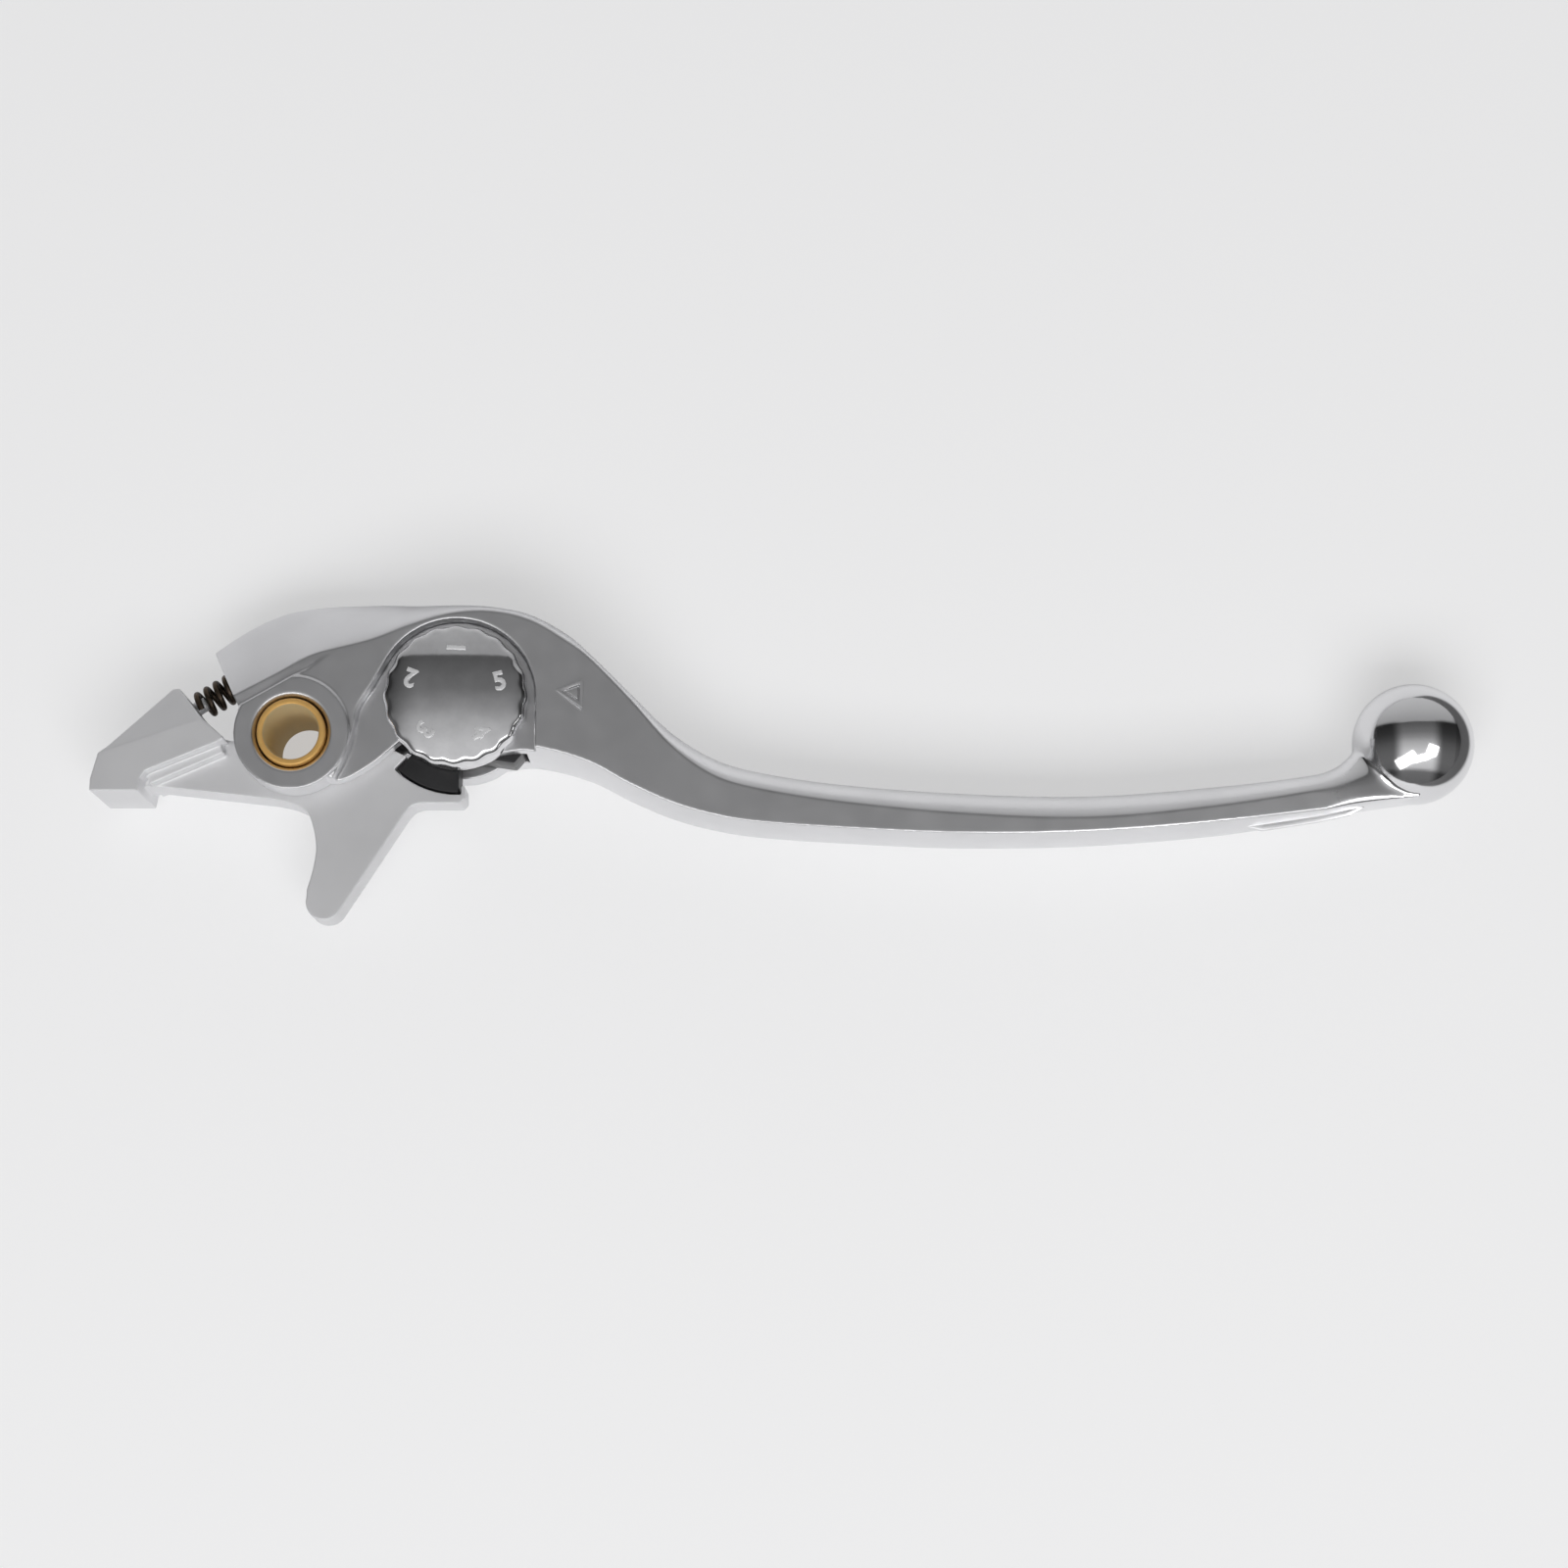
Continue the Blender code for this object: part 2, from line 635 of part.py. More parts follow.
def make_arm(pivot):
    """The arm: a flat top, a facet that falls away from it, and the same below."""
    a, b = Vector(ARM_FACET[0]), Vector(ARM_FACET[-1])
    across = Vector(((b - a).y, -(b - a).x)).normalized()

    def half_at(point):
        return ARM_HALF_HEIGHT - ARM_SLOPE * max((Vector(point) - a).dot(across), 0.0)

    bm = bmesh.new()
    outline = [*ARM_FACET[:-1], *ARM_FLAT[2:]]
    outline.append(ARM_FLAT[0])
    sides = []
    for way in (-1, 1):
        verts = {p: bm.verts.new((*p, MID_Z + way * half_at(p))) for p in outline}
        bm.faces.new([verts[p] for p in ARM_FLAT])
        bm.faces.new([verts[p] for p in ARM_FACET])
        sides.append([verts[p] for p in outline])
    for i in range(len(outline)):
        j = (i + 1) % len(outline)
        bm.faces.new((sides[0][i], sides[0][j], sides[1][j], sides[1][i]))
    return place("arm", bm, pivot)


def make_bush(pivot):
    """The brass bush, chamfered at both ends."""
    c = BUSH_CHAMFER
    profile = [
        (BUSH_BORE_R, c),
        (BUSH_BORE_R + c, 0.0),
        (BUSH_R - c, 0.0),
        (BUSH_R, c),
        (BUSH_R, BUSH_LENGTH - c),
        (BUSH_R - c, BUSH_LENGTH),
        (BUSH_BORE_R + c, BUSH_LENGTH),
        (BUSH_BORE_R, BUSH_LENGTH - c),
    ]
    finish(ring("pivot_bush", profile, ROUND_SIDES, pivot), (0.62, 0.42, 0.13), 1.0, 0.25)


def make_dial(dial):
    """The dial with its scalloped rim, washer groove and stepped shaft."""
    steps = SCALLOPS * POINTS_PER_SCALLOP

    def rim(shrink, z):
        loop = []
        for i in range(steps):
            a = math.tau * i / steps
            dip = SCALLOP_DEPTH * (1 - math.cos(SCALLOPS * a)) / 2
            r = DIAL_R - dip - shrink
            loop.append((r * math.cos(a), r * math.sin(a), z))
        return loop

    top = DIAL_Z + DIAL_HEIGHT
    loops = [rim(0.0, DIAL_Z), rim(0.0, top - DIAL_CROWN), rim(0.4 * DIAL_CROWN, top - 0.3 * DIAL_CROWN)]
    loops.append(rim(1.2 * DIAL_CROWN, top))
    body = stack("adjuster_dial", loops, dial)

    groove_top = DIAL_Z + WAVE_HEIGHT + WAVE_THICKNESS + RUN_GAP
    inner, outer = WAVE_INNER_R - RUN_GAP, WAVE_OUTER_R + RUN_GAP
    below = DIAL_Z - OVERCUT
    profile = [(inner, below), (outer, below), (outer, groove_top), (inner, groove_top)]
    combine(body, ring("washer_groove", profile, ROUND_SIDES, dial), "DIFFERENCE")

    clip_top = CLIP_FLOOR_Z - WASHER_THICKNESS - 2 * RUN_GAP
    groove = (clip_top + RUN_GAP / 2, clip_top - CLIP_THICKNESS - RUN_GAP / 2)
    thin = SHAFT_END_R - CLIP_BITE
    step_high, step_low = MID_Z + SLOT_HALF - RUN_GAP / 2, MID_Z - PLATE_HALF
    end = MID_Z - EAR_HALF + RUN_GAP

    def round_loop(radius, z, flat=None):
        flat = radius if flat is None else flat
        return [(min(x, flat), y, z) for x, y in circle(radius, SMALL_SIDES)]

    shaft = [
        round_loop(SHAFT_R, DIAL_Z + DIAL_HEIGHT / 2),
        round_loop(SHAFT_R, step_high),
        round_loop(SHAFT_R, step_high, SHAFT_FLAT),
        round_loop(SHAFT_R, step_low, SHAFT_FLAT),
        round_loop(SHAFT_END_R, step_low),
        round_loop(SHAFT_END_R, groove[0]),
        round_loop(thin, groove[0]),
        round_loop(thin, groove[1]),
        round_loop(SHAFT_END_R, groove[1]),
        round_loop(SHAFT_END_R, end),
    ]
    combine(body, stack("shaft", shaft, dial), "UNION")
    finish(body, (0.80, 0.80, 0.81), 1.0, 0.06)


def make_cam(dial):
    """The snail cam, keyed to the shaft by its flat."""
    fall = math.tau - CAM_RAMP
    at_pad = (math.tau + SEAT_TO - CAM_TIP_TURN) / fall
    lift = (CAM_TIP_R + RUN_GAP - pad_reach(SEAT_TO)) / at_pad
    outline = []
    for i in range(CAM_STEPS + 1):
        share = i / CAM_STEPS
        r = CAM_TIP_R - lift * share
        a = CAM_TIP_TURN + fall * share
        outline.append((r * math.cos(a), r * math.sin(a)))
    low, high = MID_Z - PLATE_HALF, MID_Z + PLATE_HALF
    cam = prism("adjuster_cam", outline, low, high, dial)
    key = [(min(x, SHAFT_FLAT + RUN_GAP), y) for x, y in circle(SHAFT_R + RUN_GAP, SMALL_SIDES)]
    combine(cam, prism("cam_key", key, low - OVERCUT, high + OVERCUT, dial), "DIFFERENCE")
    finish(cam, (0.020, 0.020, 0.021), 0.0, 0.40)


def make_spring(pivot):
    """The spring, from its pocket in the head to the arm, as one unbroken tube."""
    seat, way = spring_line()
    half = SPRING_WIRE / 2
    start = -SPRING_POCKET + RUN_GAP + half
    length = arm_wall_distance() - RUN_GAP - half - start
    turns = length / SPRING_PITCH
    count = int(turns * POINTS_PER_CURL)
    side = way.cross(Vector((0.0, 0.0, 1.0)))
    radius = SPRING_R - half
    points = []
    for i in range(count + 1):
        a = math.tau * turns * i / count
        middle = seat + way * (start + length * i / count)
        points.append(middle + radius * (side * math.cos(a) + Vector((0.0, 0.0, math.sin(a)))))
    curve = bpy.data.curves.new("return_spring", "CURVE")
    curve.dimensions = "3D"
    line = curve.splines.new("POLY")
    line.points.add(count)
    for spot, p in zip(line.points, points):
        spot.co = (*p, 1.0)
    curve.bevel_depth = half
    curve.bevel_resolution = 1
    curve.use_fill_caps = True
    spring = bpy.data.objects.new("return_spring", curve)
    bpy.context.collection.objects.link(spring)
    spring.parent = pivot
    finish(spring, (0.06, 0.05, 0.04), 1.0, 0.40)
    apart = POINTS_PER_CURL // 2
    least = min(
        (points[i] - points[j]).length
        for i in range(len(points))
        for j in range(i + apart, len(points))
    )
    print(f"return_spring: {turns:.1f} curls, least gap to itself {1000 * (least - SPRING_WIRE):.2f} mm")


def make_washers(dial):
    """The wave washer under the dial, and the flat washer and clip on the shaft's lower end."""
    bm = bmesh.new()
    rows = []
    for i in range(ROUND_SIDES):
        a = math.tau * i / ROUND_SIDES
        z = DIAL_Z + WAVE_HEIGHT * (1 + math.cos(WAVES * a)) / 2
        corners = [(WAVE_INNER_R, z), (WAVE_OUTER_R, z)]
        corners += [(WAVE_OUTER_R, z + WAVE_THICKNESS), (WAVE_INNER_R, z + WAVE_THICKNESS)]
        rows.append([bm.verts.new((r * math.cos(a), r * math.sin(a), h)) for r, h in corners])
    for a, b in zip(rows, rows[1:] + rows[:1]):
        for i in range(4):
            j = (i + 1) % 4
            bm.faces.new((a[i], b[i], b[j], a[j]))
    finish(place("wave_washer", bm, dial), (0.45, 0.45, 0.46), 1.0, 0.35)

    top = CLIP_FLOOR_Z - RUN_GAP
    low = top - WASHER_THICKNESS
    inner = SHAFT_END_R + RUN_GAP
    profile = [(inner, low), (WASHER_R, low), (WASHER_R, top), (inner, top)]
    finish(ring("dial_washer", profile, SMALL_SIDES, dial), (0.50, 0.50, 0.51), 1.0, 0.35)

    top = low - RUN_GAP
    inner = SHAFT_END_R - CLIP_BITE + RUN_GAP
    mouth = CLIP_MOUTH / 2
    clip = arc((0.0, 0.0), CLIP_R, mouth, math.tau - mouth, 24)
    clip += arc((0.0, 0.0), inner, math.tau - mouth, mouth, 16)
    clip = prism("dial_circlip", clip, top - CLIP_THICKNESS, top, dial)
    finish(clip, (0.12, 0.12, 0.13), 1.0, 0.35)


def main():
    for obj in list(bpy.data.objects):
        bpy.data.objects.remove(obj)
    pivot = axis("pivot_axis", *PIVOT)
    dial = axis("dial_axis", DIAL_X, DIAL_Y, pivot)
    make_lever(pivot, dial)
    make_knuckle(pivot)
    make_bush(pivot)
    make_dial(dial)
    make_cam(dial)
    make_spring(pivot)
    make_washers(dial)


main()
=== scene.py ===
"""Dresses an adjustable motorcycle hand lever: two castings, chromed dial, brass bush and dark spring."""

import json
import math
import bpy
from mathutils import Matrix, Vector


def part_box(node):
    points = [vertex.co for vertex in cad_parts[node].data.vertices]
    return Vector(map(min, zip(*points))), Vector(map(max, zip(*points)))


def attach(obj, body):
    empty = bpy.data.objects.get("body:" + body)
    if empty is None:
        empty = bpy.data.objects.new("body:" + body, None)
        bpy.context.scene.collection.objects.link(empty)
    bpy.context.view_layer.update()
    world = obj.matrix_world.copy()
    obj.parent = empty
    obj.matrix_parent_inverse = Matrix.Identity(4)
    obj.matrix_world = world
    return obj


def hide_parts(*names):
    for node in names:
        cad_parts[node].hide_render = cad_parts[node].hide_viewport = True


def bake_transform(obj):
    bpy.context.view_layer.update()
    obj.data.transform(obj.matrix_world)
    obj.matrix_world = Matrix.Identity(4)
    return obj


bl_info = {
    "name": "Hand lever dresser",
    "version": (1, 0, 0),
    "blender": (4, 5, 0),
    "location": "View3D > Sidebar > Lever",
    "description": "Builds the castings, dial, bush, cam, spring and stage of an adjustable hand lever",
    "category": "Object",
}

import bmesh
import bpy
from bpy.props import FloatProperty, FloatVectorProperty, IntProperty, PointerProperty
from mathutils import Matrix, Quaternion, Vector

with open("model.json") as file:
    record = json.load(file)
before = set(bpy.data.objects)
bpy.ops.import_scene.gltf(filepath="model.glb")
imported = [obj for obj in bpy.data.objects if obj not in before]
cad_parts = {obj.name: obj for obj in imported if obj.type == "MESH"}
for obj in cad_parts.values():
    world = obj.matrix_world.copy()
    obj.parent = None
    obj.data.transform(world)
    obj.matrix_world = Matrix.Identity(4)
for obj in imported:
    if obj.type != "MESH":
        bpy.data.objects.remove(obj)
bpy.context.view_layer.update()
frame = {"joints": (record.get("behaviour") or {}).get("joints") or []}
JOINTS = {joint["name"]: joint for joint in frame["joints"]}
PIVOT = Vector((*JOINTS["lever_pull"]["pos_m"][:2], 0.0))
DIAL = Vector((*JOINTS["dial_turn"]["pos_m"][:2], 0.0)) - PIVOT

# Heights and radii read from the frame
BUSH_LOW, BUSH_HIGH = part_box("pivot_bush")
_, LEVER_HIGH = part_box("lever_blade")
PLATE_LOW, PLATE_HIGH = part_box("cam_pad")
ARM_LOW, ARM_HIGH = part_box("knuckle")
DIAL_LOW, DIAL_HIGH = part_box("adjuster_dial")
WAVE_LOW, WAVE_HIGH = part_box("wave_washer")
WASHER_LOW, WASHER_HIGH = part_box("dial_washer")
CLIP_LOW, CLIP_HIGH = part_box("dial_circlip")
MID_Z = (BUSH_LOW.z + BUSH_HIGH.z) / 2
BUSH_R = (BUSH_HIGH.x - BUSH_LOW.x) / 2
PLATE_HALF = (PLATE_HIGH.z - PLATE_LOW.z) / 2
ARM_HALF = (ARM_HIGH.z - ARM_LOW.z) / 2
WASHER_R = (WASHER_HIGH.x - WASHER_LOW.x) / 2

# How far the bush stands out of its boss
BUSH_PROUD = 0.0002
BOSS_TOP = 2 * MID_Z - BUSH_PROUD

# Small width of a test's edge, and radius at which a turned solid's tip is closed
HAIR = 0.0001
POLE_R = 0.00005

# Roundings of plain edges, the angle from which an edge is rounded, and those from which one is shown sharp
EDGE_FINE = 0.00005
EDGE_TURNED = 0.00008
EDGE_POINTER = 0.0001
EDGE_PAD = 0.00015
EDGE_CAM = 0.0002
BEVEL_ANGLE = math.radians(35.0)
SHARP_ANGLE = math.radians(40.0)
DIAL_SHARP_ANGLE = math.radians(38.0)

# Sides of round forms
BORE_SIDES = 128
SHAFT_BORE_SIDES = 96
KEY_SIDES = 64
POCKET_SIDES = 48
PEG_SIDES = 32
BUSH_SIDES = 160
WAVE_SIDES = 160
WIRE_SIDES = 14
BALL_SIDES = (96, 48)

# Steps along arcs, and for each span of smooth lines and each curl of the spring
SLOT_STEPS = 60
HUB_STEPS = 64
TIP_STEPS = 32
SEAT_STEPS = 40
CLIP_STEPS = 60
EDGE_STEPS = 8
FINGER_STEPS = 10
CURL_STEPS = 40

# Ball end, from the pivot axis
BALL_R = 0.0090
BALL_X = LEVER_HIGH.x - PIVOT.x - BALL_R
BALL_Y = 0.0002

# Clearance between pieces, and how far a cutter runs past a face
GAP = 0.0003
PAST = 0.002

# Head outline from the pivot axis, left of the dial: x, finger crease y, finger side y
HEAD_ROWS = (
    (-0.0150, 0.0014, 0.0124),
    (-0.0084, 0.0052, 0.0170),
    (-0.0027, 0.0084, 0.0197),
    (0.0029, 0.0116, 0.0207),
)

# Head outline round the dial, in recess radii from its axis: x, finger crease y, finger side y
DIAL_ROWS = (
    (-1.06, 0.74, 1.35),
    (-0.57, 0.93, 1.34),
    (-0.08, 1.07, 1.33),
    (0.41, 1.10, 1.28),
    (0.91, 0.99, 1.17),
    (1.38, 0.72, 0.92),
)

# Blade outline: rider crease y, finger crease y and finger side y, at shares of the way to the ball
BLADE_SHARES = (0.00, 0.05, 0.10, 0.15, 0.20, 0.30, 0.45, 0.60, 0.75, 0.88)
BLADE_ROWS = (
    (-0.0041, 0.0115, 0.0132),
    (-0.0072, 0.0054, 0.0073),
    (-0.0098, -0.0014, 0.0016),
    (-0.0115, -0.0057, -0.0021),
    (-0.0125, -0.0076, -0.0040),
    (-0.0134, -0.0096, -0.0059),
    (-0.0142, -0.0114, -0.0073),
    (-0.0139, -0.0120, -0.0077),
    (-0.0125, -0.0103, -0.0064),
    (-0.0105, -0.0076, -0.0044),
)

# Place of the blade's root past the dial axis, and the length over which it takes its own height
BLADE_FROM_DIAL = 0.0192
BLADE_RISE = 0.021

# Fullness of the finger side at the head's end, and how much fuller it is from the dial on
HEAD_FULLNESS = 1.08
FULLNESS_GAIN = 0.55

# Bulge of the rider's side
RIDER_BULGE = 0.0009

# Steps of a section round the finger side, points on the rider's side, and sections along the lever
SECTION_FINGER = 40
SECTION_RIDER = 17
STATIONS = 260

# Passes that round a casting's edges and that blend its neck, how much each pass does, the share of the
# blend's reach that is blended in full, and the faces that each casting keeps
TUMBLE_PASSES = 8
BLEND_PASSES = 160
SMOOTH_FACTOR = 0.5
BLEND_CORE = 0.5
LEVER_FACES = 185000
KNUCKLE_FACES = 90000

# Neck at the ball, in ball radii from its middle: outlines, the stretch where the height tucks in and by
# what share, the soft blend's place and reach, and the stretch over which the polish comes in
NECK_CREASE = ((-1.00, -0.72), (0.00, -0.55))
NECK_SIDE = ((-1.25, -0.36), (-0.95, -0.08), (-0.65, 0.22))
NECK_RIDER = ((-1.00, -1.07), (0.00, -0.94))
NECK_SPAN = (-3.6, 0.3)
NECK_TUCK = 0.45
NECK_BLEND = (-0.95, -0.40, 0.30)
NECK_BLEND_R = 1.05
POLISH_SPAN = (-1.5, -0.6)

# Rider side of the ears from the pivot axis: from the head's end past the boss, its dip before the dial,
# its arc round the dial axis, and the corner where the blade starts
EAR_FOOT = (
    (-0.0150, 0.0008),
    (-0.0085, 0.0038),
    (-0.0060, 0.0000),
    (0.0020, -0.0050),
    (0.0061, -0.0067),
)
EAR_DIP = 0.0009
EAR_ARC_FROM = math.radians(-144.0)
EAR_ARC_TO = math.radians(-52.0)
EAR_CORNER = (0.0346, -0.0020)

# Narrow ledge along the head's front wall, from the pivot axis, its depth, and where it starts to run out
LEDGE = (
    (-0.0080, 0.0110),
    (-0.0130, 0.0009),
    (-0.0071, 0.0043),
    (-0.0010, 0.0078),
    (0.0022, 0.0096),
    (0.0060, 0.0122),
)
LEDGE_DROP = 0.00035
LEDGE_FADE_FROM = -0.001

# Rib on the rider's side near the ball: x from the pivot axis and height of its top at each end, how far it
# stands out, how tall it is, its steps, and how steeply its ends fade
RIB_FROM = (0.1400, 0.0117)
RIB_TO = (0.1575, 0.0103)
RIB_OUT = 0.0008
RIB_TALL = 0.0012
RIB_STEPS = 24
RIB_FADE = 8

# Edge between the full ear and the dial's recess, from the pivot axis, and where the recess's arc ends
RECESS_EDGE = (
    (0.0116, 0.0073),
    (0.0095, 0.0038),
    (0.0089, 0.0004),
    (0.0079, -0.0032),
    (0.0060, -0.0070),
)
RECESS_ARC_TO = math.radians(152.0)

# Slot between the ears: its radius round the dial, its end there, and its wall's distance from the hub
SLOT_R = 0.0125
SLOT_ARC_TO = math.radians(140.0)
HUB_GAP = 0.0004

# Bores in the ears: chamfer of the bush's bore, and radii for the shaft and for its lower end
BORE_CHAMFER = 0.0005
SHAFT_BORE_R = 0.0038
SHAFT_END_BORE_R = 0.0026

# Line of the head's front wall, and the head's slanted end face: a point on it, its turn, how far it runs
# below that point, and how far its cutter reaches
HEAD_LINE_TURN = math.radians(29.7)
END_FACE_POINT = (-0.0084, 0.0050)
END_FACE_TURN = math.radians(117.5)
END_FACE_DROP = 0.0017
END_FACE_REACH = 0.042

# Way from the head's end face along the spring to the arm
SPRING_TURN = math.radians(212.0)

# Pointer that faces the dial: a raised triangle's corners from the dial axis, its foot and its height, and
# the sizes of the window and of the lower core in it as shares of the triangle
POINTER = ((0.0146, 0.0009), (0.0185, -0.0018), (0.0187, 0.0025))
POINTER_FOOT = 0.0002
POINTER_RAISE = 0.00028
WINDOW_SHARE = 0.60
CORE_SHARE = 0.42
CORE_RAISE = 0.00020

# Knuckle's hub, from where to where its edge is free
HUB_FROM = math.radians(18.0)
HUB_TO = math.radians(182.0)

# Left edge of the push finger from the pivot axis, its tip, and the turn of its right edge
FINGER_EDGE = (
    (-0.0032, -0.0089),
    (0.0000, -0.0097),
    (0.0020, -0.0112),
    (0.0031, -0.0155),
    (0.0027, -0.0193),
    (0.0019, -0.0222),
)
FINGER_TIP = (0.0045, -0.0240)
FINGER_TIP_R = 0.0027
FINGER_TIP_FROM = math.radians(-195.0)
FINGER_EDGE_TURN = math.radians(57.4)

# Crotch between finger and tab: drop and run, and where its bend lies in them
CROTCH_DROP = 0.0022
CROTCH_RUN = 0.0028
CROTCH_BEND = (0.45, 0.27)

# Pad's seat in the tab, round the dial axis, its shoulder and lip, and the tab's cut corner and root
SEAT_R = 0.0135
SEAT_FROM = math.radians(-134.0)
SEAT_TO = math.radians(-88.0)
SEAT_SHOULDER = 0.0026
LIP_LENGTH = 0.0006
LIP_HEIGHT = 0.0013
TAB_CORNER = 0.0007
TAB_ROOT = (0.0120, -0.0003)

# Low edge of the knuckle's plate under the arm, the arm's flat top, the facet that falls away from it and
# its slope, the ledge beside the arm and half its height, and the length of the spring's peg
ARM_WEB = ((-0.0125, 0.0004), (-0.0235, -0.0045), (-0.0235, -0.0070), (-0.0200, -0.0070))
ARM_FLAT = (
    (-0.0100, -0.0005),
    (-0.0134, 0.0025),
    (-0.0284, -0.0027),
    (-0.0294, -0.0064),
    (-0.0295, -0.0083),
    (-0.0225, -0.0083),
    (-0.0222, -0.0065),
    (-0.0214, -0.0054),
    (-0.0110, -0.0011),
)
ARM_FACET = (
    (-0.0134, 0.0025),
    (-0.0172, 0.0074),
    (-0.0182, 0.0073),
    (-0.0270, -0.0016),
    (-0.0284, -0.0027),
)
ARM_SLOPE = 0.45
ARM_LEDGE = ((-0.0216, -0.0056), (-0.0109, -0.0009), (-0.0104, -0.0023), (-0.0211, -0.0070))
ARM_LEDGE_HALF = 0.0056
PEG_LENGTH = 0.0018

# Bush's bore and chamfer
BUSH_BORE_R = 0.0040
BUSH_CHAMFER = 0.0002

# Dial's shaft: radii at its end, in the clip's groove, in the cam and below the dial, and the rounding of
# its end
SHAFT_END_R = 0.0023
GROOVE_R = 0.0017
SHAFT_KEY_R = 0.0030
SHAFT_R = 0.0035
SHAFT_ROUND = 0.0003

# Dial's underside: inner and outer radius of the wave washer's groove, and the rounding of the rim
WAVE_SEAT = (0.0049, 0.0081)
RIM_ROUND = 0.0003

# Dial's edge: radius and height of its points, from the rim's radius and the edge of the crown; its sides,
# and the steps of the crown
DIAL_EDGE = ((0.0, -0.0010), (-0.0002, -0.0004), (-0.0006, -0.0001), (-0.0009, 0.0))
DIAL_SIDES = 320
CROWN_STEPS = 24

# Stretch of the rim, in from its radius, over which the scallops grow to their depth
SCALLOP_SPAN = (0.0011, 0.0004)

# Numbers on the dial and the turn at which each stands, and their half height, rounding and sink
DIAL_MARKS = {"1": 87.0, "2": 159.0, "3": 231.0, "4": 303.0, "5": 15.0}
MARK_HALF = 0.00016
MARK_ROUND = 0.00014
MARK_SINK = 0.00012

# Distance within which points of the numbers are welded
MARK_WELD = 0.000002

# Cam: turn of its tip, turn over which it falls, the share of its drop that it falls by, and its steps
CAM_FROM = math.radians(-47.0)
CAM_SPAN = math.radians(337.0)
CAM_SHARE = 0.974
CAM_STEPS = 240

# Wave washer: bore, thickness and number of waves
WAVE_BORE_R = 0.0052
WAVE_THICK = 0.00025
WAVES = 4

# Flat washer's bore, and the clip: bore, radius at its teeth, half its mouth, where its two tips start, the
# number of its teeth and how narrow they are
WASHER_BORE_R = 0.0026
CLIP_BORE_R = 0.0026
CLIP_GRIP_R = 0.0020
CLIP_MOUTH = math.radians(40.0)
CLIP_TIPS_FROM = 2.2
CLIP_TEETH = 3
CLIP_NARROW = 8

# Swing of the knuckle over the dial's whole turn
REACH_SWING = math.radians(8.0)

# Places of a colour mix's two colours among its inputs, and of its result among its outputs
MIX_A = 6
MIX_B = 7
MIX_RESULT = 2

# Span of a noise that is spread over an uneven value
NOISE_SPAN = (0.3, 0.7)

# Cast finishes: metallic and roughness; and for both, scale and height of the grain, scale and strength of
# the patches, scale of the gloss and how far it goes both ways, and the share that polish leaves of it
CAST_FINISHES = {"tumbled_lever": (1.0, 0.31), "tumbled_knuckle": (0.62, 0.50)}
CAST_GRAIN = (1500.0, 0.0000008)
CAST_PATCHES = (90.0, 0.03)
CAST_GLOSS = (260.0, 0.03, 0.04)
POLISH_SHARE = 0.30

# Plain finishes: metallic, roughness and how uneven it is, scale of the grain and its height; and for all,
# scale and strength of the patches, and scale of the gloss
PLAIN_FINISHES = {
    "bright_chrome": (1.0, 0.05, 0.02, 700.0, 0.000002),
    "satin_chrome": (0.40, 0.36, 0.05, 700.0, 0.000004),
    "black_oxide": (0.0, 0.34, 0.05, 1800.0, 0.00001),
    "black_pad": (0.0, 0.46, 0.06, 2400.0, 0.000015),
    "oiled_wire": (1.0, 0.34, 0.08, 3000.0, 0.00001),
    "plated_steel": (1.0, 0.30, 0.06, 1500.0, 0.000006),
    "spring_steel": (1.0, 0.36, 0.06, 1500.0, 0.000006),
}
PLAIN_PATCHES = (400.0, 0.06)
PLAIN_GLOSS = 900.0

# Share of the plain steel's colour that the darker sprung steel keeps
SPRUNG_SHADE = 0.55

# Turned metal: scale of the rings, their strength and height, and scale and strength of the patches
RINGS = 9000.0
RING_BUMP = (0.5, 0.00002)
TURNED_PATCHES = (500.0, 0.08)

# Turned brass: metallic, and roughness of the rim and of the rougher bore, whose paler colour is painted
# light
BRASS_METALLIC = 0.6
BRASS_ROUGH = 0.42
BORE_ROUGH = 0.6

# Floor: half its width, the share of its own glow to the eye and in a mirror, and steps that take the
# mirrored glow away past the ball, beside the head and behind it, each as start, end and height; then its
# colour past the ball in a mirror, and its roughness.
# The mirrored glow, the places without it and the dark colour past the ball are painted reflections for the
# metal.
FLOOR_HALF = 3.0
FLOOR_GLOW = 0.49
MIRRORED_GLOW = 0.20
FLOOR_FAR = (0.116, 0.13, 0.9)
FLOOR_BESIDE = (0.0, -0.03, MIRRORED_GLOW)
FLOOR_BEHIND = (0.004, 0.012, 1.0)
FLOOR_PAINTED_DARK = (0.05, 0.05, 0.05)
FLOOR_ROUGH = 0.75

# Camera: distance, tilt from straight down, place that it faces from the pivot axis, and in millimetres its
# focal length and the width of its sensor
CAMERA_DISTANCE = 0.52
CAMERA_TILT = math.radians(10.0)
CAMERA_AIM = (0.071717, -0.004147, 0.0)
CAMERA_LENS = 79.07
CAMERA_SENSOR = 36.0

# Dark parts of the room, each as start, end and height of a step: the ceiling by tilt, both flanks and the
# far side by their share of the way aside
SKY_CEILING = (math.radians(40.0), math.radians(33.0), 0.8)
SKY_FLANK = (0.22, 0.42, 1.0)
SKY_FAR = (0.56, 0.64, 0.85)

# How much bluer than grey the room is, and the least square of a reach that the tilt is worked out from
SKY_BLUE = 1.01
SKY_LEAST = 0.02

# Brightness of the room by its tilt from straight up towards the lever's finger side, in degrees
SKY_STOPS = (
    (-90, 0.12),
    (-62, 0.15),
    (-54, 0.55),
    (-40, 0.64),
    (-22, 0.58),
    (-6, 0.42),
    (4, 0.26),
    (14, 0.16),
    (32, 0.09),
    (34, 0.09),
    (35, 0.31),
    (60, 0.43),
    (90, 0.53),
)

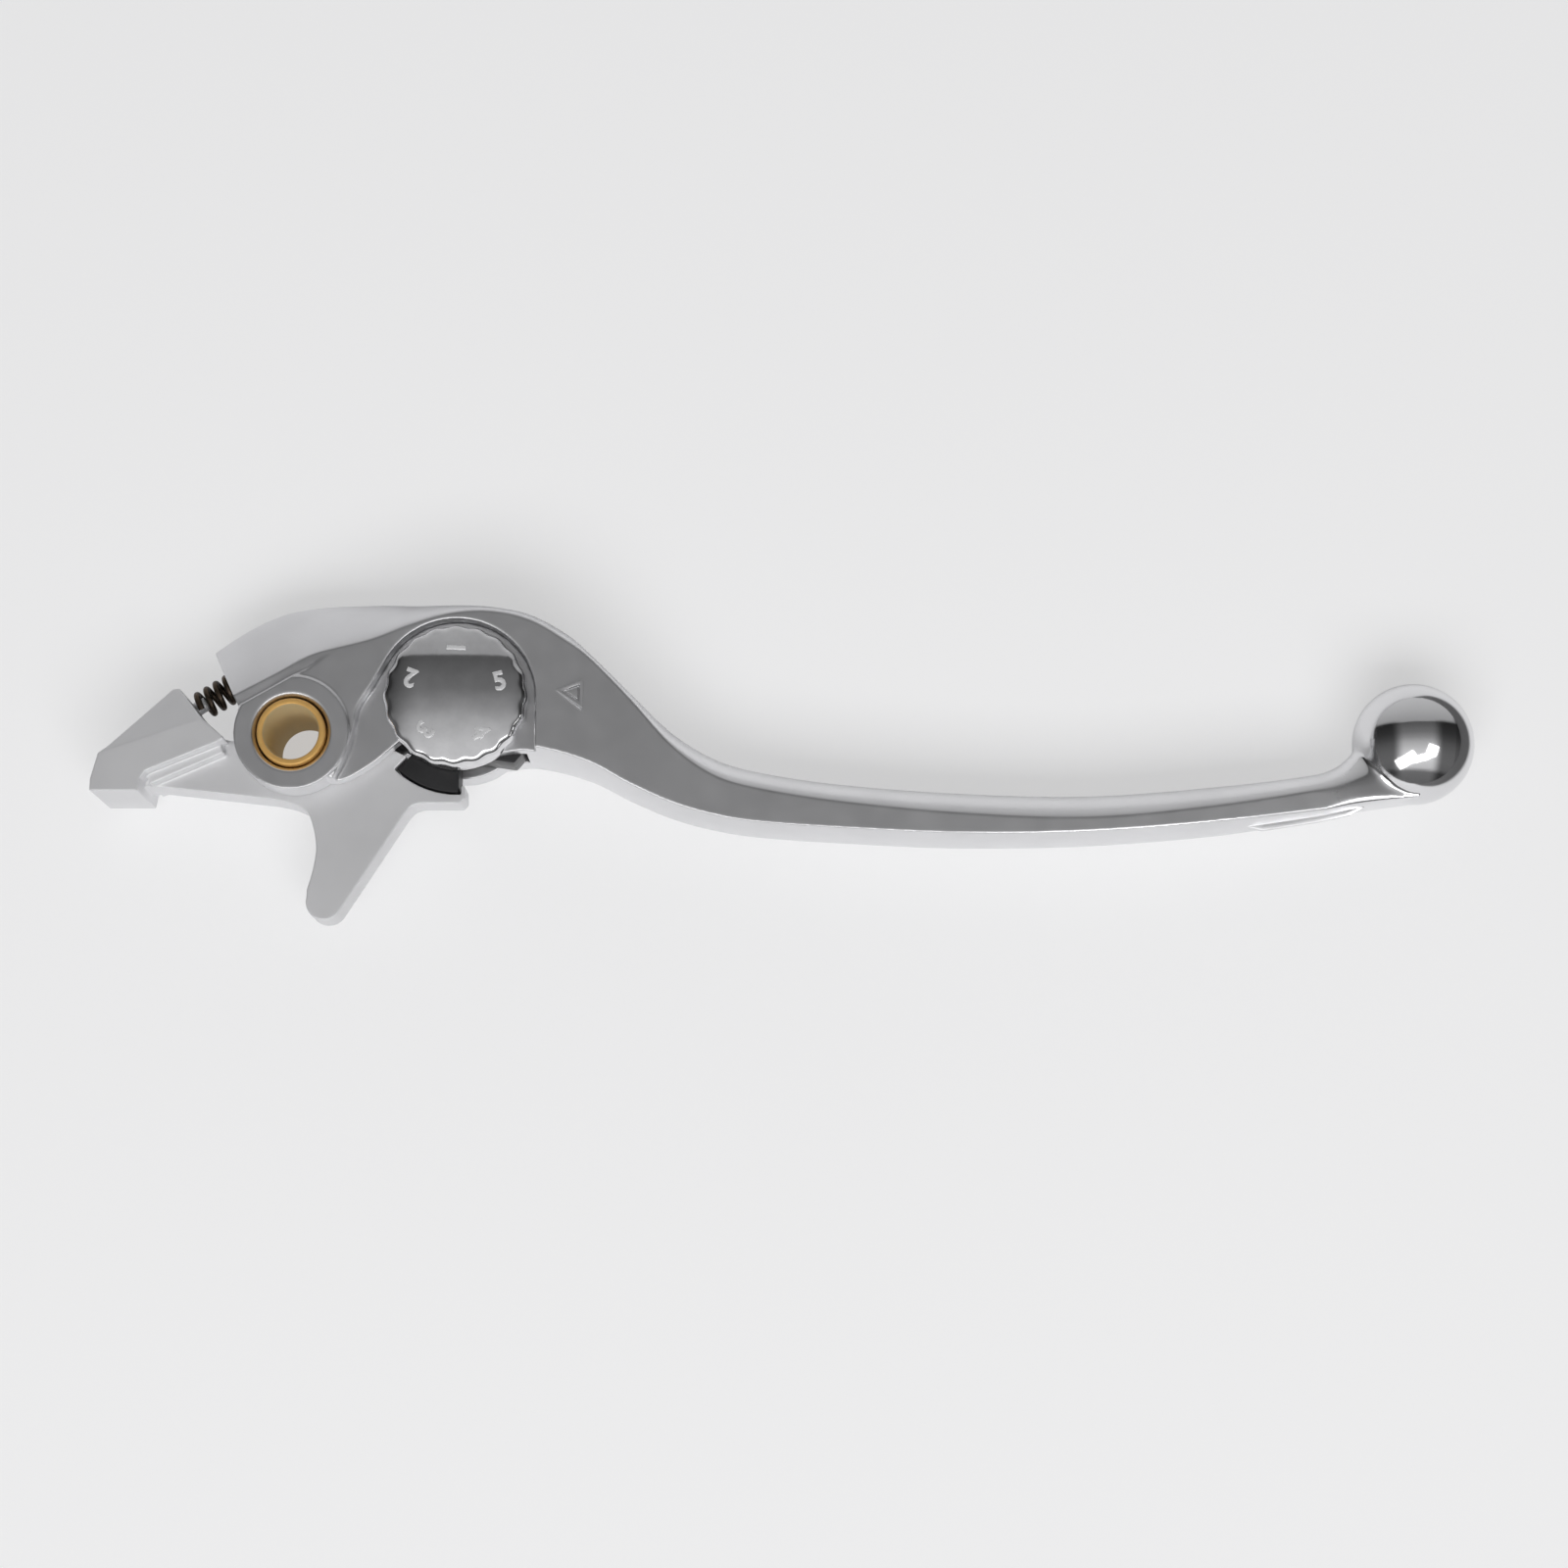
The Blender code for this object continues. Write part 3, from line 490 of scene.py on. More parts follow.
# Soft boxes: name, place, what each faces, width and height, turn about its axis in degrees, power in
# watts, and whether it only shows in the metal
BALL = Vector((BALL_X, BALL_Y, BALL_R)) + PIVOT
SOFT_BOXES = (
    ("key_box", Vector((0.02, -0.72, 0.98)), Vector(), (1.1, 0.6), 0.0, 9.0, False),
    ("edge_strip", Vector((0.00, -0.75, 0.96)), Vector(), (1.6, 0.28), 15.0, 2.9, True),
    ("ball_streak", BALL + Vector((-0.029, -0.051, 0.060)), BALL, (0.028, 0.062), -26.0, 0.011, True),
    ("ball_spot", BALL + Vector((0.036, -0.027, 0.071)), BALL, (0.026, 0.030), 20.0, 0.006, True),
)


def metres(name, description, default):
    """A length that a user may change."""
    return FloatProperty(
        name=name,
        description=description,
        default=default,
        min=0.0,
        precision=5,
        subtype="DISTANCE",
        unit="LENGTH",
    )


def tint(name, description, default):
    """A colour that a user may change."""
    return FloatVectorProperty(
        name=name, description=description, default=default, min=0.0, max=1.0, size=3, subtype="COLOR"
    )


class CastingSizes(bpy.types.PropertyGroup):
    """Sizes of the two castings."""

    boss_r: metres("Boss radius", "Radius of the boss round the pivot bush", 0.0084)
    boss_raise: metres("Boss raise", "How far the boss stands above the ear", 0.0005)
    hub_r: metres("Hub radius", "Radius of the knuckle's hub", 0.0084)
    slot_height: metres("Slot height", "Height of the slot between the ears", 0.0074)
    recess_r: metres("Recess radius", "Radius of the recess round the dial", 0.0116)
    recess_depth: metres("Recess depth", "Depth of the dial's recess below the ear", 0.0030)
    ear_reach: metres("Ear reach", "Radius of the ears' foot round the dial axis", 0.0100)
    blade_half: metres("Blade half height", "Half the height of the blade", 0.0070)
    grain: metres("Casting grain", "Size of the cells that round the castings' edges", 0.00014)


class DialSizes(bpy.types.PropertyGroup):
    """Sizes of the dial, its cam and its numbers."""

    scallops: IntProperty(name="Scallops", description="Scallops round the rim", default=20, min=3)
    scallop_depth: metres("Scallop depth", "Depth of each scallop", 0.00022)
    spread: metres("Spread", "How far the plated rim stands out past the plain dial", 0.0004)
    crown: metres("Crown", "How far the rim lies below the middle", 0.0016)
    mark_r: metres("Mark radius", "Radius of the ring of numbers", 0.0068)
    mark_size: metres("Mark size", "Height of the numbers", 0.0038)
    cam_tip_r: metres("Cam tip radius", "Largest radius of the cam", 0.0120)
    cam_low_r: metres("Cam low radius", "Smallest radius of the cam", 0.0084)


class SpringSizes(bpy.types.PropertyGroup):
    """Sizes of the spring between arm and head."""

    radius: metres("Spring radius", "Outside radius of the coil", 0.0023)
    wire: metres("Wire", "Diameter of the wire", 0.00092)
    pitch: metres("Pitch", "Distance from curl to curl", 0.0016)
    pocket: metres("Pocket", "Depth of the pocket in the head", 0.0030)
    up_face: metres("Place on the face", "Distance of the pocket along the head's end face", 0.0040)


class Finishes(bpy.types.PropertyGroup):
    """Colours of the finishes."""

    aluminium: tint("Aluminium", "Tumbled aluminium casting", (0.87, 0.87, 0.88))
    chrome: tint("Chrome", "Chrome plate of the dial", (0.86, 0.86, 0.87))
    brass: tint("Brass", "Turned brass of the bush", (0.95, 0.56, 0.18))
    # Paler colour of the bush's bore: painted light that lightens the shade in the bore
    bore_painted_light: tint("Liner", "Dull liner in the bush's bore", (0.86, 0.73, 0.46))
    # Black of cam and pad: their own finish, and also painted shade for the dark gap under the dial
    black: tint("Black", "Black cam and pad", (0.016, 0.016, 0.017))
    wire: tint("Wire", "Oiled spring wire", (0.10, 0.075, 0.055))
    steel: tint("Steel", "Washers and clip", (0.42, 0.42, 0.43))
    floor: tint("Floor", "Pale floor", (0.90, 0.90, 0.91))


def arc(centre, radius, start, end, steps):
    """Points on an arc, from the start angle to the end angle."""
    angles = [start + (end - start) * i / steps for i in range(steps + 1)]
    return [(centre[0] + radius * math.cos(a), centre[1] + radius * math.sin(a)) for a in angles]


def flow(points, steps):
    """A smooth line through the points, with this many steps for each span."""
    ends = [points[0], *points, points[-1]]
    line = []
    for corners in zip(ends, ends[1:], ends[2:], ends[3:]):
        for i in range(steps):
            line.append(tuple(flow_between(i / steps, *values) for values in zip(*corners)))
    return [*line, tuple(points[-1])]


def flow_between(t, before, a, b, after):
    """A value at t of a smooth span from a to b, with the values before and after it."""
    bend = 2 * before - 5 * a + 4 * b - after
    curl = 3 * a - before - 3 * b + after
    return a + t * ((b - before) + t * (bend + t * curl)) / 2


def curve_at(points, x):
    """The height at x of a smooth curve through points whose x rises."""
    x = min(max(x, points[0][0]), points[-1][0])
    i = max(k for k in range(len(points) - 1) if points[k][0] <= x)

    def slope(k):
        low, high = max(k - 1, 0), min(k + 1, len(points) - 1)
        return (points[high][1] - points[low][1]) / (points[high][0] - points[low][0])

    (x0, y0), (x1, y1) = points[i], points[i + 1]
    span = x1 - x0
    t = (x - x0) / span
    return (
        y0 * (1 - t) ** 2 * (1 + 2 * t)
        + y1 * t * t * (3 - 2 * t)
        + slope(i) * span * t * (1 - t) ** 2
        - slope(i + 1) * span * t * t * (1 - t)
    )


def ease(x, start, end):
    """0 before start, 1 after end, and a smooth rise between them."""
    t = min(max((x - start) / (end - start), 0.0), 1.0)
    return t * t * (3 - 2 * t)


def turned_by(point, angle):
    """A point turned about the pivot axis."""
    c, s = math.cos(angle), math.sin(angle)
    return (point[0] * c - point[1] * s, point[0] * s + point[1] * c)


def from_dial(radius, turn):
    """A point at a radius and an angle from the dial axis, as seen from the pivot axis."""
    return (DIAL.x + radius * math.cos(turn), DIAL.y + radius * math.sin(turn))


def show(name, mesh):
    """Links a mesh as an object of the scene."""
    obj = bpy.data.objects.new(name, mesh)
    bpy.context.scene.collection.objects.link(obj)
    return obj


def from_bmesh(name, bm):
    """Makes an object of a mesh, with its faces pointing out."""
    bmesh.ops.recalc_face_normals(bm, faces=bm.faces)
    mesh = bpy.data.meshes.new(name)
    bm.to_mesh(mesh)
    bm.free()
    return show(name, mesh)


def stack(name, loops):
    """A solid skinned over loops that have as many points each, with both ends closed."""
    bm = bmesh.new()
    rings = [[bm.verts.new(p) for p in loop] for loop in loops]
    for low, high in zip(rings, rings[1:]):
        for i in range(len(low)):
            j = (i + 1) % len(low)
            bm.faces.new((low[i], low[j], high[j], high[i]))
    bmesh.ops.triangulate(bm, faces=bm.faces)
    bm.faces.new(rings[0])
    bm.faces.new(rings[-1])
    return from_bmesh(name, bm)


def prism(name, outline, low, high):
    """A flat outline raised from one height to another."""
    return stack(name, [[(x, y, z) for x, y in outline] for z in (low, high)])


def turned(name, profile, sides, centre=(0.0, 0.0), closed=False):
    """A turned solid from (radius, height) pairs, or a ring where the profile is closed."""
    bm = bmesh.new()
    rows = []
    for i in range(sides):
        c, s = math.cos(math.tau * i / sides), math.sin(math.tau * i / sides)
        rows.append([bm.verts.new((centre[0] + r * c, centre[1] + r * s, z)) for r, z in profile])
    spans = len(profile) if closed else len(profile) - 1
    for a, b in zip(rows, rows[1:] + rows[:1]):
        for i in range(spans):
            j = (i + 1) % len(profile)
            bm.faces.new((a[i], b[i], b[j], a[j]))
    if not closed:
        bm.faces.new([row[0] for row in rows])
        bm.faces.new([row[-1] for row in rows])
    return from_bmesh(name, bm)


def round_bar(name, radius, start, end, sides):
    """A round bar from one point to another."""
    bm = bmesh.new()
    along = (end - start).to_track_quat("Z", "Y").to_matrix().to_4x4()
    bmesh.ops.create_cone(
        bm,
        cap_ends=True,
        segments=sides,
        radius1=radius,
        radius2=radius,
        depth=(end - start).length,
        matrix=Matrix.Translation((start + end) / 2) @ along,
    )
    return from_bmesh(name, bm)


def settle_modifiers(obj):
    """Turns what the modifiers make into the object's own plain mesh."""
    bpy.context.view_layer.update()
    shaped = obj.evaluated_get(bpy.context.evaluated_depsgraph_get())
    mesh = bpy.data.meshes.new_from_object(shaped)
    mesh.name = obj.name
    obj.modifiers.clear()
    obj.data = mesh


def combine(target, tool, operation):
    """Cuts the tool from the target, or joins the two, and removes the tool."""
    step = target.modifiers.new(operation, "BOOLEAN")
    step.object = tool
    step.operation = operation
    step.solver = "EXACT"
    settle_modifiers(target)
    bpy.data.objects.remove(tool)


def round_edges(obj, cell, faces, blend_at=None, blend_r=0.0):
    """Rounds a casting's edges by about a cell, blends them softly near one place, and limits its faces."""
    remesh = obj.modifiers.new("cells", "REMESH")
    remesh.mode = "VOXEL"
    remesh.voxel_size = cell
    smooth = obj.modifiers.new("tumble", "SMOOTH")
    smooth.factor = SMOOTH_FACTOR
    smooth.iterations = TUMBLE_PASSES
    settle_modifiers(obj)
    if blend_at:
        group = obj.vertex_groups.new(name="blend")
        for vert in obj.data.vertices:
            near = (vert.co - blend_at).length / blend_r
            if near < 1.0:
                group.add([vert.index], 1.0 - ease(near, BLEND_CORE, 1.0), "REPLACE")
        blend = obj.modifiers.new("blend", "SMOOTH")
        blend.factor = SMOOTH_FACTOR
        blend.iterations = BLEND_PASSES
        blend.vertex_group = group.name
        settle_modifiers(obj)
        obj.vertex_groups.clear()
    thin = obj.modifiers.new("thin", "DECIMATE")
    thin.ratio = min(faces / (2 * len(obj.data.polygons)), 1.0)
    settle_modifiers(obj)
    obj.data.shade_smooth()
    obj.modifiers.new("even", "WEIGHTED_NORMAL")
    settle_modifiers(obj)


def bevel_edges(obj, width, segments=3):
    """Rounds the sharp edges of a plain turned or raised piece."""
    bevel = obj.modifiers.new("edge", "BEVEL")
    bevel.width = width
    bevel.segments = segments
    bevel.limit_method = "ANGLE"
    bevel.angle_limit = BEVEL_ANGLE
    settle_modifiers(obj)
    obj.data.shade_smooth()
    obj.data.set_sharp_from_angle(angle=SHARP_ANGLE)


def fit_piece(obj, body, slot, finish, *nodes):
    """Moves a piece's mesh from the pivot axis to its place, gives it its material, hides the nodes that it
    stands for, and ties it to its body.
    """
    obj.data.transform(Matrix.Translation(PIVOT))
    dress_piece(obj, slot, finish, *nodes)
    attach(obj, body)


def dress_piece(obj, slot, finish, *nodes):
    """Gives a piece its material and hides the nodes that it stands for; the slot is not used."""
    obj.data.materials.clear()
    obj.data.materials.append(finish)
    if nodes:
        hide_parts(*nodes)


class Tree:
    """Adds nodes to a node tree, with their inputs set or linked by name or place."""

    def __init__(self, tree):
        self.tree = tree

    def add(self, kind, inputs=(), **settings):
        """A node of this kind; inputs maps a socket's name or place to a value or to another socket."""
        node = self.tree.nodes.new(kind)
        for key, value in settings.items():
            setattr(node, key, value)
        for key, value in dict(inputs).items():
            if isinstance(value, bpy.types.NodeSocket):
                self.tree.links.new(value, node.inputs[key])
            else:
                node.inputs[key].default_value = value
        return node

    def math(self, operation, a, b=0.0, c=0.0):
        """The result of one sum."""
        return self.add("ShaderNodeMath", {0: a, 1: b, 2: c}, operation=operation).outputs[0]

    def mix(self, share, a, b):
        """A colour that goes from a to b with the share; each is a colour or a socket."""
        ends = {"Factor": share, MIX_A: a, MIX_B: b}
        return self.add("ShaderNodeMix", ends, data_type="RGBA").outputs[MIX_RESULT]


def shape_tree(name, sizes):
    """A new shape tree with named inputs; gives the tree, its helper and its input sockets."""
    tree = bpy.data.node_groups.new(name, "GeometryNodeTree")
    kinds = {float: "NodeSocketFloat", int: "NodeSocketInt", Vector: "NodeSocketVector"}
    tree.interface.new_socket("Geometry", in_out="INPUT", socket_type="NodeSocketGeometry")
    for label, value in sizes.items():
        tree.interface.new_socket(label, in_out="INPUT", socket_type=kinds[type(value)])
    tree.interface.new_socket("Material", in_out="INPUT", socket_type="NodeSocketMaterial")
    tree.interface.new_socket("Geometry", in_out="OUTPUT", socket_type="NodeSocketGeometry")
    given = tree.nodes.new("NodeGroupInput")
    return tree, Tree(tree), given.outputs


def end_shape_tree(nodes, geometry, material):
    """Ends a shape tree: real geometry, its material, and the way out."""
    real = nodes.add("GeometryNodeRealizeInstances", {"Geometry": geometry})
    painted = nodes.add("GeometryNodeSetMaterial", {"Geometry": real.outputs[0], "Material": material})
    nodes.add("NodeGroupOutput", {0: painted.outputs[0]})


def apply_shape_tree(obj, tree, sizes, finish):
    """Runs a shape tree on an object with these sizes and keeps the plain mesh."""
    values = {**sizes, "Material": finish}
    step = obj.modifiers.new(tree.name, "NODES")
    step.node_group = tree
    for item in tree.interface.items_tree:
        if item.in_out == "INPUT" and item.name in values:
            step[item.identifier] = values[item.name]
    settle_modifiers(obj)


def new_finish(name, colour, metallic, roughness):
    """A material with its shader's plain values set; gives it, its helper and its shader."""
    finish = bpy.data.materials.new(name)
    finish.use_nodes = True
    nodes = Tree(finish.node_tree)
    shader = finish.node_tree.nodes["Principled BSDF"]
    shader.inputs["Base Color"].default_value = (*colour, 1.0)
    shader.inputs["Metallic"].default_value = metallic
    shader.inputs["Roughness"].default_value = roughness
    return finish, nodes, shader


def grain(nodes, shader, scale, height, detail=4.0):
    """A fine uneven skin, as a bump."""
    place = nodes.add("ShaderNodeTexCoord").outputs["Object"]
    noise = nodes.add("ShaderNodeTexNoise", {"Vector": place, "Scale": scale, "Detail": detail})
    add_bump(nodes, shader, noise, 1.0, height)
    return place


def add_bump(nodes, shader, noise, strength, height):
    """Raises the surface a little where the noise is bright."""
    values = {"Height": noise.outputs["Fac"], "Strength": strength, "Distance": height}
    bump = nodes.add("ShaderNodeBump", values)
    nodes.tree.links.new(bump.outputs["Normal"], shader.inputs["Normal"])


def cloudy(nodes, place, scale, low, high):
    """A soft uneven value between low and high."""
    noise = nodes.add("ShaderNodeTexNoise", {"Vector": place, "Scale": scale, "Detail": 3.0})
    start, end = NOISE_SPAN
    spread = {"Value": noise.outputs["Fac"], "From Min": start, "From Max": end}
    spread |= {"To Min": low, "To Max": high}
    return nodes.add("ShaderNodeMapRange", spread).outputs["Result"]


def varied_colour(nodes, shader, place, colour, scale, amount):
    """The colour, a little lighter and darker in soft patches."""
    low = [c * (1 - amount) for c in colour]
    high = [min(c * (1 + amount), 1.0) for c in colour]
    patches = cloudy(nodes, place, scale, 0.0, 1.0)
    blend = nodes.mix(patches, (*low, 1.0), (*high, 1.0))
    nodes.tree.links.new(blend, shader.inputs["Base Color"])


def casting_finish(name, colour, polish=None):
    """Tumbled aluminium: satin with a fine grain, and bright where it is polished towards the ball."""
    metallic, satin = CAST_FINISHES[name]
    finish, nodes, shader = new_finish(name, colour, metallic, satin)
    place = grain(nodes, shader, *CAST_GRAIN)
    varied_colour(nodes, shader, place, colour, *CAST_PATCHES)
    scale, below, above = CAST_GLOSS
    rough = cloudy(nodes, place, scale, satin - below, satin + above)
    if polish:
        along = nodes.add("ShaderNodeSeparateXYZ", {0: place}).outputs["X"]
        span = {"Value": along, "From Min": polish[0], "From Max": polish[1]}
        span |= {"To Min": 1.0, "To Max": POLISH_SHARE}
        share = nodes.add("ShaderNodeMapRange", span, interpolation_type="SMOOTHSTEP").outputs["Result"]
        rough = nodes.math("MULTIPLY", rough, share)
    nodes.tree.links.new(rough, shader.inputs["Roughness"])
    return finish


def plain_finish(name, colour):
    """A finish with a fine skin and an uneven gloss."""
    metallic, rough, spread, grain_scale, grain_height = PLAIN_FINISHES[name]
    finish, nodes, shader = new_finish(name, colour, metallic, rough)
    place = grain(nodes, shader, grain_scale, grain_height)
    varied_colour(nodes, shader, place, colour, *PLAIN_PATCHES)
    gloss = cloudy(nodes, place, PLAIN_GLOSS, rough - spread, rough + spread)
    nodes.tree.links.new(gloss, shader.inputs["Roughness"])
    return finish


def turned_finish(name, colour, metallic, rough):
    """Turned metal, with the fine rings that the tool leaves."""
    finish, nodes, shader = new_finish(name, colour, metallic, rough)
    place = nodes.add("ShaderNodeTexCoord").outputs["Object"]
    height = nodes.add("ShaderNodeSeparateXYZ", {0: place}).outputs["Z"]
    rings = {"W": nodes.math("MULTIPLY", height, RINGS)}
    noise = nodes.add("ShaderNodeTexNoise", rings, noise_dimensions="1D")
    add_bump(nodes, shader, noise, *RING_BUMP)
    varied_colour(nodes, shader, place, colour, *TURNED_PATCHES)
    return finish, nodes, shader


def blade_x(share):
    """The place on X of a share of the way from the blade's root to the ball."""
    root = DIAL.x + BLADE_FROM_DIAL
    return root + share * (BALL_X - root)


def from_ball(points):
    """Points given in ball radii from the ball's middle."""
    return [(BALL_X + BALL_R * x, BALL_Y + BALL_R * y) for x, y in points]


def lever_curves(sizes):
    """The curves that the lever's sections follow: finger crease, finger side and rider crease."""
    rows = list(HEAD_ROWS)
    for row in DIAL_ROWS:
        rows.append(tuple(a + sizes.recess_r * b for a, b in zip((DIAL.x, DIAL.y, DIAL.y), row)))
    along = [blade_x(share) for share in BLADE_SHARES]
    rows += [(x, crease, side) for x, (_, crease, side) in zip(along, BLADE_ROWS)]
    crease = [(x, y) for x, y, _ in rows] + from_ball(NECK_CREASE)
    side = [(x, y) for x, _, y in rows] + from_ball(NECK_SIDE)
    rider = [from_dial(sizes.ear_reach, EAR_ARC_TO), EAR_CORNER]
    rider += [(x, y) for x, (y, _, _) in zip(along, BLADE_ROWS)] + from_ball(NECK_RIDER)
    return crease, side, rider


def ear_foot(x, reach):
    """The rider side of the ears: past the boss, then round below the dial."""
    corner = from_dial(reach, EAR_ARC_FROM)
    if x > corner[0]:
        away = min(abs(x - DIAL.x), reach)
        return DIAL.y - math.sqrt(reach**2 - away**2)
    last = EAR_FOOT[-1]
    between = ((last[0] + corner[0]) / 2, (last[1] + corner[1]) / 2 - EAR_DIP)
    return curve_at([*EAR_FOOT, between, corner], x)


def lever_section(x, curves, sizes):
    """One section of the lever at x: flat top and bottom, a full finger side, a slight rider side."""
    crease, side, rider = (curve_at(c, x) for c in curves)
    ears_end = curves[2][0][0]
    if x < ears_end:
        rider = ear_foot(x, sizes.ear_reach)
    ear_half = MID_Z - BUSH_LOW.z - BUSH_PROUD - sizes.boss_raise
    root = blade_x(0.0)
    rise = ease(x, DIAL.x + sizes.recess_r, root + BLADE_RISE)
    tuck = ease(x, *(BALL_X + BALL_R * share for share in NECK_SPAN))
    half = ear_half + (sizes.blade_half - ear_half) * rise - NECK_TUCK * sizes.blade_half * tuck
    middle = MID_Z + (BALL_R - MID_Z) * rise
    bulge = RIDER_BULGE * ease(x, ears_end, root) * (1 - tuck)
    power = HEAD_FULLNESS + FULLNESS_GAIN * ease(x, 0.0, DIAL.x + sizes.recess_r)
    points = []
    for i in range(SECTION_FINGER + 1):
        a = math.pi / 2 - math.pi * i / SECTION_FINGER
        out = abs(math.cos(a)) ** (2 / power)
        up = math.copysign(abs(math.sin(a)) ** (2 / power), math.sin(a))
        points.append((x, crease + (side - crease) * out, middle + half * up))
    for i in range(SECTION_RIDER):
        up = -1 + 2 * i / (SECTION_RIDER - 1)
        points.append((x, rider - bulge * (1 - up * up), middle + half * up))
    return points


def head_line(distance, along):
    """A point on the line of the head's front wall, at a distance from the pivot axis."""
    c, s = math.cos(HEAD_LINE_TURN), math.sin(HEAD_LINE_TURN)
    return (-distance * s + along * c, distance * c + along * s)


def spring_line(sizes):
    """The spring's middle on the head's end face, the direction to the arm, and the arm's distance."""
    seat = Vector((*END_FACE_POINT, MID_Z))
    seat += sizes.up_face * Vector((math.cos(END_FACE_TURN), math.sin(END_FACE_TURN), 0.0))
    way = Vector((math.cos(SPRING_TURN), math.sin(SPRING_TURN), 0.0))
    a, b = Vector((*ARM_FACET[0], MID_Z)), Vector((*ARM_FACET[1], MID_Z))
    across = Vector((-(b - a).y, (b - a).x, 0.0))
    return seat, way, (a - seat).dot(across) / way.dot(across)


class LEVER_OT_casting(bpy.types.Operator):
    """Makes the forked lever with its blade and ball end"""

    bl_idname = "lever.casting"
    bl_label = "Lever casting"

    def execute(self, context):
        sizes = context.scene.lever_castings
        lever = self.skin(sizes)
        self.add_boss_and_ball(lever, sizes)
        self.cut_slot_and_recess(lever, sizes)
        self.cut_bores(lever)
        self.cut_head_end(lever, context.scene.lever_spring)
        self.cut_ledge(lever, sizes)
        middle = (BALL_X, BALL_Y, BALL_R)
        neck = Vector([place + BALL_R * share for place, share in zip(middle, NECK_BLEND)])
        round_edges(lever, sizes.grain, LEVER_FACES, neck, NECK_BLEND_R * BALL_R)
        colour = context.scene.lever_finishes.aluminium
        polish = [BALL_X + PIVOT.x + BALL_R * share for share in POLISH_SPAN]
        finish = casting_finish("tumbled_lever", colour, polish)
        fit_piece(lever, "lever", "polished_aluminium", finish, "lever_blade")
        self.add_pointer(sizes, finish)
        self.add_rider_rib(sizes, finish)
        return {"FINISHED"}

    def skin(self, sizes):
        """The blade and the head before any cut."""
        curves = lever_curves(sizes)
        start = HEAD_ROWS[0][0]
        stations = [start + (BALL_X - start) * i / STATIONS for i in range(STATIONS + 1)]
        return stack("lever_casting", [lever_section(x, curves, sizes) for x in stations])

    def add_boss_and_ball(self, lever, sizes):
        """The raised boss round the bush, and the ball."""
        low, high = 2 * MID_Z - BOSS_TOP, BOSS_TOP
        combine(lever, turned("boss", [(sizes.boss_r, low), (sizes.boss_r, high)], BORE_SIDES), "UNION")
        bm = bmesh.new()
        middle = Matrix.Translation((BALL_X, BALL_Y, BALL_R))
        around, down = BALL_SIDES
        bmesh.ops.create_uvsphere(bm, u_segments=around, v_segments=down, radius=BALL_R, matrix=middle)
        combine(lever, from_bmesh("ball", bm), "UNION")

    def cut_slot_and_recess(self, lever, sizes):
        """The slot between the ears and the recess for the dial."""
        low = FINGER_TIP[1]
        wall = sizes.hub_r + HUB_GAP
        slot = [head_line(wall, -2 * sizes.boss_r), (-2 * sizes.boss_r, low)]
        slot += [(DIAL.x + SLOT_R * math.cos(EAR_ARC_TO), low)]
        slot += arc(DIAL, SLOT_R, EAR_ARC_TO, SLOT_ARC_TO, SLOT_STEPS)
        slot += [head_line(wall, sizes.boss_r)]
        half = sizes.slot_height / 2
        combine(lever, prism("fork_slot", slot, MID_Z - half, MID_Z + half), "DIFFERENCE")

        recess = [(DIAL.x + sizes.recess_r, low)]
        recess += arc(DIAL, sizes.recess_r, 0.0, RECESS_ARC_TO, SLOT_STEPS)
        recess += flow(RECESS_EDGE, EDGE_STEPS)
        recess += [(RECESS_EDGE[-1][0], low)]
        floor = BOSS_TOP - sizes.boss_raise - sizes.recess_depth
        combine(lever, prism("dial_recess", recess, floor, BOSS_TOP + PAST), "DIFFERENCE")

    def cut_bores(self, lever):
        """The bores for bush and dial shaft."""
        bore = BUSH_R + GAP
        wide = bore + BORE_CHAMFER
        low = 2 * MID_Z - BOSS_TOP
        profile = [(wide, low - PAST), (wide, low), (bore, low + BORE_CHAMFER)]
        profile += [(r, 2 * MID_Z - z) for r, z in reversed(profile)]
        combine(lever, turned("bush_bore", profile, BORE_SIDES), "DIFFERENCE")

        washer = WASHER_R + 2 * GAP
        step = WASHER_HIGH.z + GAP
        profile = [(washer, -PAST), (washer, step)]
        profile += [(SHAFT_END_BORE_R, step), (SHAFT_END_BORE_R, MID_Z)]
        profile += [(SHAFT_BORE_R, MID_Z), (SHAFT_BORE_R, BOSS_TOP)]
        combine(lever, turned("shaft_bore", profile, SHAFT_BORE_SIDES, DIAL), "DIFFERENCE")

    def cut_head_end(self, lever, spring):
        """The head's slanted end face and the spring's pocket in it."""
        c, s = math.cos(END_FACE_TURN), math.sin(END_FACE_TURN)
        x, y = END_FACE_POINT
        foot = (x - END_FACE_DROP * c, y - END_FACE_DROP * s)
        head = (x + END_FACE_REACH * c, y + END_FACE_REACH * s)
        clear = x - GAP
        beyond = [foot, head, (x - END_FACE_REACH, head[1])]
        beyond += [(x - END_FACE_REACH, x), (clear, x), (clear, foot[1])]
        combine(lever, prism("head_end", beyond, -PAST, BOSS_TOP + PAST), "DIFFERENCE")

        seat, way, _ = spring_line(spring)
        start, end = seat + way * PAST, seat - way * spring.pocket
        pocket = round_bar("pocket", spring.radius + GAP, start, end, POCKET_SIDES)
        combine(lever, pocket, "DIFFERENCE")

    def cut_ledge(self, lever, sizes):
        """The ledge along the head's front wall, above and below."""
        half = BOSS_TOP - sizes.boss_raise - MID_Z
        fade = [ease(x, LEDGE_FADE_FROM, LEDGE[-1][0]) for x, _ in LEDGE]
        heights = [half - LEDGE_DROP * (1 - share) for share in fade]
        for way in (-1, 1):
            floor = [(x, y, MID_Z + way * height) for (x, y), height in zip(LEDGE, heights)]
            roof = [(x, y, MID_Z + way * (half + PAST)) for x, y in LEDGE]
            combine(lever, stack("ledge", [floor, roof]), "DIFFERENCE")

